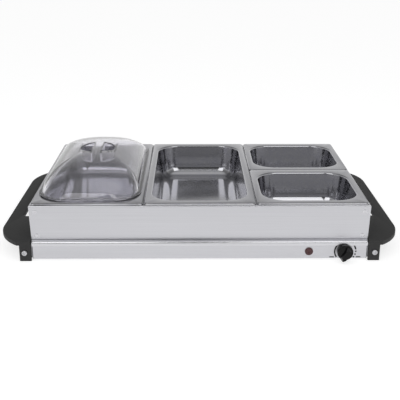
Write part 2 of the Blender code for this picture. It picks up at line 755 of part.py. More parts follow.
def build_bottom_cover(material, screw_material, parent):
    half_x = HOUSING_HALF_X - HOUSING_SHEET - GAP
    half_y = HOUSING_HALF_Y - HOUSING_SHEET - GAP
    low = FLOOR_CLEARANCE + HOUSING_SHEET + GAP
    outline = rounded_rectangle(half_x, half_y, HOUSING_CORNER, ARC_STEPS)
    cover = make_object("bottom_cover", prism(outline, low, COVER_TOP), material, parent)
    cut(cover, merged(cover_screw_holes(COVER_TOP + OVERRUN)))
    seat = FLOOR_CLEARANCE - GAP
    tip = COVER_TOP + COVER_SCREW_REACH
    head = seat - COVER_SCREW_HEAD_HEIGHT
    knee = seat - COVER_SCREW_HEAD_HEIGHT * HEAD_SIDE_share
    radius = COVER_SCREW_HEAD_RADIUS
    profile = [(0.0, head), (radius * HEAD_CROWN_share, head), (radius, knee), (radius, seat),
               (COVER_SCREW_RADIUS, seat), (COVER_SCREW_RADIUS, tip), (0.0, tip)]
    for name, x, y in cover_screw_places():
        work = turned(profile, steps=SMALL_STEPS)
        make_object("bottom_screw_" + name, work, screw_material, parent, (x, y, 0))


def element_run_ends():
    """Height of the tube's centre, the X of its open ends and the Y of its first and last runs."""
    height = SPREADER_BOTTOM - GAP - ELEMENT_RADIUS
    end = SPREADER_HALF_X - ELEMENT_END_MARGIN
    return height, end, ELEMENT_RUN_SPACING * (ELEMENT_RUNS - 1) / 2


def element_route():
    height, end, first = element_run_ends()
    radius = ELEMENT_RUN_SPACING / 2
    turn = end - radius - ELEMENT_RADIUS
    route = [(end, -first, height)]
    for run in range(ELEMENT_RUNS - 1):
        side = -1 if run % 2 == 0 else 1
        centre_y = -first + ELEMENT_RUN_SPACING * (run + 0.5)
        for step in range(ELEMENT_BEND_STEPS + 1):
            angle = -pi / 2 + pi * step / ELEMENT_BEND_STEPS
            route.append((side * (turn + radius * cos(angle)), centre_y + radius * sin(angle), height))
    route.append((end, first, height))
    return route


def build_element(material, clamp_material, parent):
    height, end, first = element_run_ends()
    sheath = tube("heating_element", element_route(), ELEMENT_RADIUS, material, parent, resolution=2)
    root, tip = end - ELEMENT_RADIUS, end + ELEMENT_PIN_LENGTH
    ends = [(0, side * first, height) for side in (-1, 1)]
    pins = [rod(ELEMENT_PIN_RADIUS, root, tip, "X", place, SMALL_STEPS) for place in ends]
    fuse(as_mesh(sheath), merged(pins))
    for run in range(ELEMENT_RUNS):
        y = -first + ELEMENT_RUN_SPACING * run
        x = SPREADER_HALF_X * CLAMP_PLACE_share * (-1 if run % 2 else 1)
        work = prism(clamp_outline(y), x - CLAMP_LENGTH / 2, x + CLAMP_LENGTH / 2, "X")
        make_object("element_clamp_" + str(run + 1), work, clamp_material, parent)


def build_spreader_and_shield(material, parent):
    outline = rounded_rectangle(SPREADER_HALF_X, SPREADER_HALF_Y, SHIELD_CORNER, ARC_STEPS)
    make_object("heat_spreader", prism(outline, SPREADER_BOTTOM, PLATE_UNDERSIDE - GAP), material, parent)
    top = COVER_TOP + (SPREADER_BOTTOM - COVER_TOP) * SHIELD_RISE_share
    low = COVER_TOP + GAP
    outside = (SPREADER_HALF_X, SPREADER_HALF_Y, SHIELD_CORNER)
    inside = tuple(size - SHIELD_SHEET for size in outside)
    rows = [(*outside, top), (*outside, low), (*inside, low), (*inside, top - SHIELD_SHEET)]
    make_object("heat_shield", loft(tray_rings(rows, ARC_STEPS)), material, parent)


def clamp_outline(y):
    """Saddle strap under one run of the tube, as rows of (y, z)."""
    seat = SPREADER_BOTTOM - GAP
    centre = seat - ELEMENT_RADIUS
    inner = ELEMENT_RADIUS + GAP
    outer = inner + CLAMP_SHEET
    toe = outer + CLAMP_FOOT
    under = seat - CLAMP_SHEET
    angles = [-pi * step / CLAMP_STEPS for step in range(CLAMP_STEPS + 1)]
    rows = [(toe, seat), (toe, under), (outer, under)]
    rows += [(outer * cos(a), centre + outer * sin(a)) for a in angles]
    rows += [(-outer, under), (-toe, under), (-toe, seat), (-inner, seat)]
    rows += [(inner * cos(a), centre + inner * sin(a)) for a in reversed(angles)]
    rows.append((inner, seat))
    return [(y + across, z) for across, z in rows]


def thermostat_half_height():
    return min(CONTROL_HEIGHT - COVER_TOP, PLATE_UNDERSIDE - CONTROL_HEIGHT) * THERMOSTAT_FILL_share


def build_thermostat(plastic, steel, parent):
    half = thermostat_half_height()
    face = HOUSING_SHEET + GAP
    back = face + THERMOSTAT_PLATE
    place = (KNOB_X, -HOUSING_HALF_Y, CONTROL_HEIGHT)
    width = THERMOSTAT_HALF_WIDTH
    narrow = width * THERMOSTAT_BODY_share
    low = half * THERMOSTAT_BODY_share
    work = block((-width, face, -half), (width, back, half))
    body = make_object("thermostat_body", work, plastic, parent, place)
    fuse(body, block((-narrow, back - THERMOSTAT_PLATE / 2, -low), (narrow, back + THERMOSTAT_DEPTH, low)))
    tools = [rod(SHAFT_RADIUS + GAP, 0, back + SHAFT_SEAT_DEPTH, "Y")]
    tip = back + THERMOSTAT_SCREW_REACH
    head = -GAP - THERMOSTAT_SCREW_HEAD_HEIGHT
    profile = [(0.0, head), (THERMOSTAT_SCREW_HEAD, head), (THERMOSTAT_SCREW_HEAD, -GAP),
               (THERMOSTAT_SCREW_RADIUS, -GAP), (THERMOSTAT_SCREW_RADIUS, tip), (0.0, tip)]
    for name, side in (("thermostat_screw_left", -1), ("thermostat_screw_right", 1)):
        spot = (side * THERMOSTAT_SCREW_SPREAD, 0, 0)
        tools.append(rod(THERMOSTAT_SCREW_RADIUS + GAP, 0, tip + GAP, "Y", spot, SMALL_STEPS))
        make_object(name, turned(profile, "Y", spot, SMALL_STEPS), steel, parent, place)
    cut(body, merged(tools))


def build_knob(plastic, steel, parent):
    """Knob and shaft about the Y axis of their empty, pointer straight down before the empty turns it."""
    rear = -KNOB_STANDOFF
    disc = rear - KNOB_DISC_THICKNESS
    front = rear - KNOB_HEIGHT
    knee = KNOB_DISC_ROUND * ROUND_KNEE_share
    profile = [(0.0, disc), (KNOB_RADIUS - KNOB_DISC_ROUND, disc), (KNOB_RADIUS - knee, disc + knee),
               (KNOB_RADIUS, disc + KNOB_DISC_ROUND), (KNOB_RADIUS, rear), (0.0, rear)]
    knob = make_object("control_knob", turned(profile, "Y", (0, 0, 0), KNOB_STEPS), plastic, parent)
    half = KNOB_WING_WIDTH / 2
    base = [(half, -KNOB_POINTER_REACH * POINTER_SHOULDER_share), (0.0, -KNOB_POINTER_REACH),
            (-half, -KNOB_POINTER_REACH * POINTER_SHOULDER_share), (-half, KNOB_RADIUS * WING_TAIL_share),
            (half, KNOB_RADIUS * WING_TAIL_share)]
    tip = [(x * WING_TAPER_share, z * WING_TAPER_share) for x, z in base]
    start = disc + KNOB_DISC_ROUND
    wing = loft([[(x, start, z) for x, z in base], [(x, front, z) for x, z in tip]])
    fuse(knob, wing)
    seat = SHAFT_RADIUS + GAP
    wall = KNOB_RADIUS - KNOB_WALL
    mouth, bottom = rear + OVERRUN, rear - KNOB_HOLLOW_DEPTH
    boss = KNOB_BOSS_RADIUS
    hollow = hollow_turned([(boss, mouth), (wall, mouth), (wall, bottom), (boss, bottom)], "Y")
    bore = flat_rod(seat, seat - SHAFT_FLAT_DEPTH, rear - KNOB_BORE_DEPTH, mouth)
    cut(knob, hollow, bore)
    end = rear - KNOB_BORE_DEPTH + GAP
    tail = HOUSING_SHEET + GAP + THERMOSTAT_PLATE + SHAFT_SEAT_DEPTH - GAP
    shaft = make_object("thermostat_shaft", rod(SHAFT_RADIUS, end, tail, "Y"), steel, parent)
    flat = SHAFT_RADIUS - SHAFT_FLAT_DEPTH
    side = SHAFT_RADIUS + OVERRUN
    cut(shaft, block((-side, end - OVERRUN, flat), (side, rear, side)))


def flat_rod(radius, flat, low, high):
    """Rod along Y with a flat facing up."""
    return prism([(x, min(z, flat)) for x, z, _ in circle(radius, 0, ROUND_STEPS)], low, high, "Y")


def build_indicator(lens_material, steel, glass, parent):
    place = (LAMP_X, -HOUSING_HALF_Y, CONTROL_HEIGHT)
    rim = -GAP - LENS_FLANGE
    knee = (LENS_RADIUS * CROWN_KNEE_share, rim - LENS_CROWN * CROWN_RISE_share)
    profile = [(0.0, rim - LENS_CROWN), knee, (LENS_RADIUS, rim), (LENS_RADIUS, -GAP),
               (LENS_STEM_RADIUS, -GAP), (LENS_STEM_RADIUS, LENS_STEM_LENGTH),
               (LENS_BORE_RADIUS, LENS_STEM_LENGTH), (LENS_BORE_RADIUS, 0.0), (0.0, 0.0)]
    make_object("indicator_lens", turned(profile, "Y"), lens_material, parent, place)
    seat = HOUSING_SHEET + GAP
    bore = LENS_STEM_RADIUS + GAP
    back = seat + PUSH_NUT_SHEET
    nut = [(bore, seat), (PUSH_NUT_RADIUS, seat), (PUSH_NUT_RADIUS, back), (bore, back)]
    make_object("indicator_push_nut", hollow_turned(nut, "Y"), steel, parent, place)
    neon = rod(NEON_RADIUS, GAP, NEON_LENGTH, "Y", steps=SMALL_STEPS)
    make_object("indicator_lamp", neon, glass, parent, place)


def terminal_block_front():
    return HOUSING_HALF_Y - HOUSING_SHEET - TERMINAL_BLOCK_WALL_GAP - TERMINAL_BLOCK_WIDTH


def pole_x(pole):
    pitch = TERMINAL_BLOCK_LENGTH / TERMINAL_POLES
    return TERMINAL_BLOCK_X - TERMINAL_BLOCK_LENGTH / 2 + pitch * (pole + 0.5)


def build_terminals(plastic, brass, steel, parent):
    low = COVER_TOP + GAP
    top = low + TERMINAL_BLOCK_HEIGHT
    front = terminal_block_front()
    half = TERMINAL_BLOCK_LENGTH / 2
    x = TERMINAL_BLOCK_X
    work = block((x - half, front, low), (x + half, front + TERMINAL_BLOCK_WIDTH, top))
    make_object("terminal_block", work, plastic, parent)
    middle = front + TERMINAL_BLOCK_WIDTH / 2
    for pole, name in enumerate(("neutral", "live", "earth")):
        screw = rod(TERMINAL_SCREW_RADIUS, 0, TERMINAL_SCREW_HEIGHT, "Z", steps=SMALL_STEPS)
        make_object("terminal_screw_" + name, screw, brass, parent, (pole_x(pole), middle, top + GAP))
    screw = rod(EARTH_SCREW_RADIUS, 0, EARTH_SCREW_HEIGHT, "Z", steps=SMALL_STEPS)
    make_object("earth_screw", screw, steel, parent, (*earth_place(), low))


def earth_place():
    return HOUSING_HALF_X - EARTH_SCREW_SET_IN, terminal_block_front() - WIRE_PITCH


def build_fuse(material, parent):
    x, y, height = fuse_place()
    work = rod(FUSE_RADIUS, 0, FUSE_LENGTH, "Y", steps=SMALL_STEPS)
    make_object("thermal_fuse", work, material, parent, (x, y, height))


def fuse_place():
    """X, front end and height of the thermal fuse, which lies against the heat spreader."""
    _, end, first = element_run_ends()
    front = -first - ELEMENT_RADIUS - WIRE_BEND * 2 - FUSE_LENGTH
    return end - FUSE_LENGTH / 2, front, SPREADER_BOTTOM - GAP - FUSE_RADIUS


def thermostat_tap(side):
    """X and back face of the thermostat where a wire leaves it; side is -1 or 1 along X."""
    back = HOUSING_SHEET + GAP + THERMOSTAT_PLATE + THERMOSTAT_DEPTH + GAP - HOUSING_HALF_Y
    return KNOB_X + side * THERMOSTAT_HALF_WIDTH * WIRE_TAP_share, back


def build_mains_wires(live, neutral, earth, parent):
    """Wires from the terminal block: each turns right a pitch further forward than the one before."""
    front = terminal_block_front() - GAP
    level = COVER_TOP + GAP + TERMINAL_BLOCK_HEIGHT / 2
    height, end, first = element_run_ends()
    pin = end + ELEMENT_PIN_LENGTH + GAP

    x, turn = pole_x(1), front - WIRE_PITCH * 2
    lane, back = thermostat_tap(1)
    route = [(x, front, level), (x, turn, level), (lane, turn, level), (lane, back + WIRE_BEND * 4, level),
             (lane, back + WIRE_BEND * 2, CONTROL_HEIGHT), (lane, back, CONTROL_HEIGHT)]
    tube("live_wire", bent_route(route, WIRE_BEND), WIRE_RADIUS, live, parent)

    x, turn = pole_x(0) + WIRE_PITCH / 3, front - WIRE_PITCH * 3
    lane = pin + WIRE_BEND
    route = [(x, front, level), (x, turn, level), (lane, turn, level), (lane, first + WIRE_BEND * 5, level),
             (lane, first + WIRE_BEND * 2, height), (lane, first, height), (pin, first, height)]
    tube("neutral_wire", bent_route(route, WIRE_BEND), WIRE_RADIUS, neutral, parent)

    x, y = earth_place()
    side = x - EARTH_SCREW_RADIUS - GAP
    low = COVER_TOP + GAP + EARTH_SCREW_HEIGHT / 2
    route = [(pole_x(2), front, level), (pole_x(2), y, level), (side - WIRE_BEND * 3, y, level),
             (side - WIRE_BEND, y, low), (side, y, low)]
    tube("earth_wire", bent_route(route, WIRE_BEND), WIRE_RADIUS, earth, parent)


def build_switched_wires(live, parent):
    """From the thermostat to the thermal fuse, and from the fuse to the element."""
    height, end, first = element_run_ends()
    pin = end + ELEMENT_PIN_LENGTH + GAP
    x, front, level = fuse_place()
    tap, back = thermostat_tap(-1)
    route = [(tap, back, CONTROL_HEIGHT), (tap, back + WIRE_BEND, CONTROL_HEIGHT),
             (x, front - WIRE_BEND, level), (x, front - GAP, level)]
    tube("switched_wire_to_fuse", bent_route(route, WIRE_BEND), WIRE_RADIUS, live, parent)
    rear = front + FUSE_LENGTH
    lane = pin + WIRE_BEND
    turn = rear + WIRE_BEND
    route = [(x, rear + GAP, level), (x, turn, level), (lane, turn, height),
             (lane, -first, height), (pin, -first, height)]
    tube("switched_wire_to_element", bent_route(route, WIRE_BEND), WIRE_RADIUS, live, parent)


def build_lamp_wires(live, neutral, parent):
    front = terminal_block_front() - GAP
    level = COVER_TOP + GAP + TERMINAL_BLOCK_HEIGHT / 2
    low = COVER_TOP + WIRE_PITCH
    lamp_back = NEON_LENGTH + GAP - HOUSING_HALF_Y
    x, turn = pole_x(0) - WIRE_PITCH / 3, front - WIRE_PITCH * 4
    lane = SPREADER_HALF_X + WIRE_PITCH
    start = LAMP_X - LENS_LEAD_SPREAD / 2
    route = [(start, lamp_back, CONTROL_HEIGHT), (start, lamp_back + WIRE_BEND, CONTROL_HEIGHT),
             (start, lamp_back + WIRE_BEND * 3, low), (lane, -SPREADER_HALF_Y - WIRE_BEND, low),
             (lane, turn, low), (x, turn, low), (x, front - WIRE_PITCH, level), (x, front, level)]
    tube("lamp_wire_neutral", bent_route(route, WIRE_BEND), LAMP_WIRE_RADIUS, neutral, parent)
    start = LAMP_X + LENS_LEAD_SPREAD / 2
    side = KNOB_X - THERMOSTAT_HALF_WIDTH * THERMOSTAT_BODY_share - GAP
    turn = lamp_back + WIRE_BEND
    route = [(start, lamp_back, CONTROL_HEIGHT), (start, turn, CONTROL_HEIGHT), (side, turn, CONTROL_HEIGHT)]
    tube("lamp_wire_live", bent_route(route, WIRE_BEND), LAMP_WIRE_RADIUS, live, parent)


def build_gland(material, parent):
    """Open gland clamped in the rear panel; its loop runs from the nose outside to the collar inside."""
    flange = GAP + GLAND_FLANGE
    nose = flange + GLAND_NOSE_LENGTH
    inside = -HOUSING_SHEET - GAP
    end = inside - GLAND_INNER_LENGTH
    loop = [(GLAND_BORE_RADIUS, nose), (GLAND_NOSE_RADIUS, nose), (GLAND_STEM_RADIUS, flange),
            (GLAND_OUTER_RADIUS, flange), (GLAND_OUTER_RADIUS, GAP), (GLAND_STEM_RADIUS, GAP),
            (GLAND_STEM_RADIUS, inside), (GLAND_OUTER_RADIUS, inside), (GLAND_STEM_RADIUS, end),
            (GLAND_BORE_RADIUS, end)]
    place = (GLAND_X, HOUSING_HALF_Y, CONTROL_HEIGHT)
    return make_object("cord_gland", hollow_turned(loop, "Y"), material, parent, place)


def handle_outline(grow):
    """Plan of the right handle; a negative grow draws the whole edge inwards."""
    front = PLATE_HALF_Y
    centre_x = HANDLE_OUTER - HANDLE_SWEEP
    centre_y = front - HANDLE_SWEEP * HANDLE_SWEEP_SET_share
    radius = HANDLE_SWEEP + grow
    limit = asin((front + grow - centre_y) / radius)
    rear_arc = []
    for step in range(SWEEP_STEPS + 1):
        angle = limit * step / SWEEP_STEPS
        rear_arc.append((centre_x + radius * cos(angle), centre_y + radius * sin(angle)))
    hole = []
    corner = GRIP_GAP_CORNER
    hole_x = HANDLE_INNER + GRIP_GAP_WIDTH
    hole_y = GRIP_GAP_HALF_LENGTH
    bend = corner - grow
    for step in range(ARC_STEPS + 1):
        angle = pi / 2 * step / ARC_STEPS
        hole.append((hole_x - corner + bend * sin(angle), hole_y - corner + bend * cos(angle)))
    inner = HANDLE_INNER - grow
    upper = rear_arc + [(inner, front + grow), (inner, GRIP_GAP_HALF_LENGTH - grow)] + hole
    lower = [(x, -y) for x, y in reversed(upper)]
    return upper + lower


def build_handle(name, side, material, parent):
    low = HANDLE_TOP - HANDLE_THICKNESS
    knee = HANDLE_EDGE_ROUND * ROUND_KNEE_share
    levels = [(low, -knee), (low + knee, 0.0), (HANDLE_TOP - HANDLE_EDGE_ROUND, 0.0),
              (HANDLE_TOP - knee, -knee), (HANDLE_TOP, -HANDLE_EDGE_ROUND)]
    work = loft([[(x, y, z) for x, y in handle_outline(grow)] for z, grow in levels])
    handle = make_object(name, work if side > 0 else mirrored(work, "X"), material, parent)
    tools = []
    for end in (-1, 1):
        leg = prism(leg_outline(end), 0.0, low + HANDLE_EDGE_ROUND * 2)
        screw = rod(HANDLE_SCREW_RADIUS + GAP, -LEG_WALL - OVERRUN, LEG_WALL + OVERRUN, "Y",
                    (HANDLE_SCREW_X, end * PLATE_HALF_Y, HANDLE_SCREW_Z), SMALL_STEPS)
        fuse(handle, leg if side > 0 else mirrored(leg, "X"))
        tools.append(screw if side > 0 else mirrored(screw, "X"))
    return cut(handle, *tools)


def leg_outline(end):
    """Plan of one leg: a front wall and an outer wall, open towards the base; end is -1 or 1 along Y."""
    near = HANDLE_INNER
    far = HANDLE_INNER + LEG_WIDTH
    inner = far - LEG_WALL
    rows = [(near, 0.0), (far, 0.0), (far, LEG_DEPTH),
            (inner, LEG_DEPTH), (inner, LEG_WALL), (near, LEG_WALL)]
    return [(x, end * (PLATE_HALF_Y - depth)) for x, depth in rows]


def build_handle_bracket(name, side_x, side_y, material, parent):
    """Angle bracket behind a leg, welded to the housing's end wall."""
    inside = HOUSING_HALF_X + GAP
    ear_end = HANDLE_INNER + LEG_WIDTH - LEG_WALL - GAP
    front = PLATE_HALF_Y - LEG_WALL - GAP
    back = front - BRACKET_SHEET
    bend = inside + BRACKET_SHEET
    end = front - BRACKET_LENGTH
    plan = [(inside, front), (ear_end, front), (ear_end, back), (bend, back), (bend, end), (inside, end)]
    plan = [(side_x * x, side_y * y) for x, y in plan]
    low, high = FLOOR_CLEARANCE + BRACKET_CLEARANCE, LIP_BOTTOM - BRACKET_CLEARANCE
    bracket = make_object(name, prism(plan, low, high), material, parent)
    reach = BRACKET_SHEET + OVERRUN
    place = (side_x * HANDLE_SCREW_X, side_y * front, HANDLE_SCREW_Z)
    return cut(bracket, rod(HANDLE_SCREW_RADIUS + GAP, -reach, reach, "Y", place, SMALL_STEPS))


def cross_outline(span, half):
    """Plan of a cross recess about its middle."""
    return [(span, half), (half, half), (half, span), (-half, span), (-half, half), (-span, half),
            (-span, -half), (-half, -half), (-half, -span), (half, -span), (half, -half), (span, -half)]


def build_handle_screw(name, side_x, side_y, material, parent):
    """Pan-head screw through a leg and its bracket, head outwards."""
    seat = PLATE_HALF_Y + GAP
    top = seat + HANDLE_SCREW_HEAD_HEIGHT
    knee = seat + HANDLE_SCREW_HEAD_HEIGHT * HEAD_SIDE_share
    radius = HANDLE_SCREW_HEAD_RADIUS
    tip = PLATE_HALF_Y - LEG_WALL - GAP - BRACKET_SHEET - HANDLE_SCREW_REACH
    profile = [(0.0, tip), (HANDLE_SCREW_RADIUS, tip), (HANDLE_SCREW_RADIUS, seat), (radius, seat),
               (radius, knee), (radius * HEAD_CROWN_share, top), (0.0, top)]
    work = turned(profile, "Y", (0, 0, 0), SCREW_STEPS)
    recess = prism(cross_outline(RECESS_SPAN / 2, RECESS_WIDTH / 2), top - RECESS_DEPTH, top + OVERRUN, "Y")
    if side_y < 0:
        work, recess = mirrored(work, "Y"), mirrored(recess, "Y")
    screw = make_object(name, work, material, parent, (side_x * HANDLE_SCREW_X, 0, HANDLE_SCREW_Z))
    return cut(screw, recess)


def main():
    clear_scene()
    polished = make_material("polished_steel", (0.60, 0.60, 0.62), 0.12, 1.0)
    satin = make_material("satin_steel", (0.58, 0.58, 0.60), 0.34, 1.0)
    zinc = make_material("zinc_plated_steel", (0.66, 0.66, 0.68), 0.30, 1.0)
    galvanised = make_material("galvanised_sheet", (0.50, 0.51, 0.53), 0.45, 1.0)
    aluminium = make_material("aluminium_sheet", (0.72, 0.72, 0.73), 0.40, 1.0)
    element = make_material("element_steel", (0.30, 0.29, 0.28), 0.50, 1.0)
    brass = make_material("brass", (0.70, 0.55, 0.25), 0.30, 1.0)
    black = make_material("black_phenolic", (0.020, 0.020, 0.021), 0.42)
    knob_black = make_material("black_knob_plastic", (0.012, 0.012, 0.013), 0.30)
    clear = make_material("clear_polycarbonate", (0.85, 0.85, 0.90), 0.05, 0.0, 0.35)
    red = make_material("red_lens_plastic", (0.16, 0.010, 0.014), 0.20)
    glass = make_material("lamp_glass", (0.80, 0.70, 0.65), 0.05, 0.0, 0.6)
    white = make_material("white_ceramic", (0.80, 0.79, 0.76), 0.55)
    brown = make_material("brown_insulation", (0.20, 0.08, 0.03), 0.50)
    blue = make_material("blue_insulation", (0.03, 0.08, 0.35), 0.50)
    green = make_material("green_insulation", (0.05, 0.30, 0.06), 0.50)

    root = make_empty("buffet_server", (0, ORIGIN_SHIFT, 0))
    frame = make_empty("frame_lift", (0, 0, 0), root)
    knob = make_empty("knob_axis", (KNOB_X, -HOUSING_HALF_Y, CONTROL_HEIGHT), root)
    knob.rotation_euler = (0, KNOB_OFF_ANGLE, 0)

    build_top_plate(satin, root)
    build_housing(satin, root)
    build_bottom_cover(galvanised, zinc, root)
    build_spreader_and_shield(aluminium, root)
    build_element(element, aluminium, root)
    build_thermostat(white, zinc, root)
    build_knob(knob_black, zinc, knob)
    build_indicator(red, zinc, glass, root)
    build_terminals(white, brass, zinc, root)
    build_fuse(white, root)
    build_mains_wires(brown, blue, green, root)
    build_switched_wires(brown, root)
    build_lamp_wires(brown, blue, root)
    build_gland(black, root)
    build_handle("handle_left", -1, black, root)
    build_handle("handle_right", 1, black, root)
    for name, side_x, side_y in corner_names():
        build_handle_bracket("handle_bracket_" + name, side_x, side_y, galvanised, root)
        build_handle_screw("handle_screw_" + name, side_x, side_y, zinc, root)

    build_frame_walls(satin, frame)
    build_dividers(satin, frame)

    pans = (("pan_left", -COLUMN_PITCH, 0, LARGE_PAN_LENGTH), ("pan_middle", 0, 0, LARGE_PAN_LENGTH),
            ("pan_rear_right", COLUMN_PITCH, ROW_PITCH / 2, SMALL_PAN_LENGTH),
            ("pan_front_right", COLUMN_PITCH, -ROW_PITCH / 2, SMALL_PAN_LENGTH))
    for name, x, y, length in pans:
        lift = make_empty(name + "_lift", (x, y, RIM_TOP), frame)
        build_pan(name, PAN_WIDTH, length, polished, lift)
        if name == "pan_left":
            lid_lift = make_empty("lid_lift", (0, 0, GAP), lift)
            build_lid(clear, lid_lift)


if __name__ == "__main__":
    main()
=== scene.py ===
"""Looks of a four-pan buffet server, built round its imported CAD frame.

The object is a warming base with two bow handles, a lift-off frame, four drawn steel pans and one clear
lid. Every length is in metres. Each sub-assembly is a class that models its pieces, dresses them and seats
them on the CAD body that carries them.
"""
import json
import logging
import math
from dataclasses import dataclass, field
from enum import Enum
from typing import Callable, Optional, Sequence

import bmesh
import bpy
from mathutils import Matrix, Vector

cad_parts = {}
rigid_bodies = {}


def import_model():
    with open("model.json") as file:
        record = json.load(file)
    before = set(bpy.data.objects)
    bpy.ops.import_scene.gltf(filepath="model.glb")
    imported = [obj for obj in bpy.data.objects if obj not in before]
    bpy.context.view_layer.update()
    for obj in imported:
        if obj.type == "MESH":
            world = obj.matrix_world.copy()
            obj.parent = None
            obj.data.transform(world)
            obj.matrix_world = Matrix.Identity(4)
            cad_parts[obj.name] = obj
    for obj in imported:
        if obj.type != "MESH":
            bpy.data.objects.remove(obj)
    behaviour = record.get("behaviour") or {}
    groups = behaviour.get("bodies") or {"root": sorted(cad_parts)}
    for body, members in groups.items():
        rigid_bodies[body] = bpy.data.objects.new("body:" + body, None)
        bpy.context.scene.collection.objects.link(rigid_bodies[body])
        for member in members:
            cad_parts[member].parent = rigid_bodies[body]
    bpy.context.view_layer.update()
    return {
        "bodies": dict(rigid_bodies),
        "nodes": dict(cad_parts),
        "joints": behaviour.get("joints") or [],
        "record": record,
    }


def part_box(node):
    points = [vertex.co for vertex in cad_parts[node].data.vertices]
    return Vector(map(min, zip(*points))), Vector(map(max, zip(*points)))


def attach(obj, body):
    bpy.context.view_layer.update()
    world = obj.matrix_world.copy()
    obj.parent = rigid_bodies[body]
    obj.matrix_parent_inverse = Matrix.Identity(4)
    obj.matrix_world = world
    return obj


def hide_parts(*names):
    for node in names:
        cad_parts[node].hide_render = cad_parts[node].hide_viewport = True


LOG = logging.getLogger("buffet_server")
MM = 0.001
SMOOTH_ANGLE = math.radians(32.0)
MERGE_DISTANCE = 0.00001
# Noise seldom leaves this middle part of its range
RAMP_START, RAMP_END = 0.3, 0.7
CRISP_EDGE = math.radians(40.0)

Point = tuple[float, float, float]
# Half width, half depth, corner radius and height
Ring = tuple[float, float, float, float]
Material = bpy.types.Material
Tree = bpy.types.NodeTree
Node = bpy.types.Node
Socket = bpy.types.NodeSocket
Piece = bpy.types.Object


class Axis(Enum):
    """The three axes of the object."""

    X = 0
    Y = 1
    Z = 2

    def vector(self) -> Vector:
        """Return the unit vector along this axis."""
        return Vector([1.0 if index == self.value else 0.0 for index in range(3)])


class Side(Enum):
    """Which way along an axis a piece lies."""

    NEGATIVE = -1
    POSITIVE = 1


class Body(Enum):
    """The CAD bodies that pieces ride on."""

    BASE = "base"
    FRAME = "tray_frame"
    LID = "lid"
    KNOB = "knob"


def srgb(code: str) -> tuple[float, float, float, float]:
    """Turn an sRGB hex colour into linear light.

    Args:
        code: Six hex digits, with or without a leading hash.

    Returns:
        Red, green, blue and alpha, each from 0 to 1.
    """
    digits = code.lstrip("#")
    shares = [int(digits[start:start + 2], 16) / 255 for start in (0, 2, 4)]
    linear = [s / 12.92 if s <= 0.04045 else ((s + 0.055) / 1.055) ** 2.4 for s in shares]
    return (*linear, 1.0)


def add_node(tree: Tree, kind: str, inputs: Optional[dict] = None, **settings) -> Node:
    """Add a shader node with its settings, values and links.

    Args:
        tree: The node tree that gets the node.
        kind: Blender's name of the node's type.
        inputs: Values or output sockets by the name or number of the input.
        settings: Properties of the node.

    Returns:
        The new node.
    """
    node = tree.nodes.new(kind)
    for name, value in settings.items():
        setattr(node, name, value)
    for key, value in (inputs or {}).items():
        if isinstance(value, Socket):
            tree.links.new(value, node.inputs[key])
        else:
            node.inputs[key].default_value = value
    return node


def set_stops(node: Node, stops: Sequence[tuple[float, tuple]]) -> None:
    """Give a colour ramp its stops.

    Args:
        node: A ColorRamp node.
        stops: Place from 0 to 1 and colour of each stop, in order.
    """
    elements = node.color_ramp.elements
    while len(elements) > 1:
        elements.remove(elements[-1])
    elements[0].position, elements[0].color = stops[0]
    for place, colour in stops[1:]:
        elements.new(place).color = colour


def grey(level: float) -> tuple[float, float, float, float]:
    """Return a neutral colour of that linear level."""
    return (level, level, level, 1.0)


# Finishes


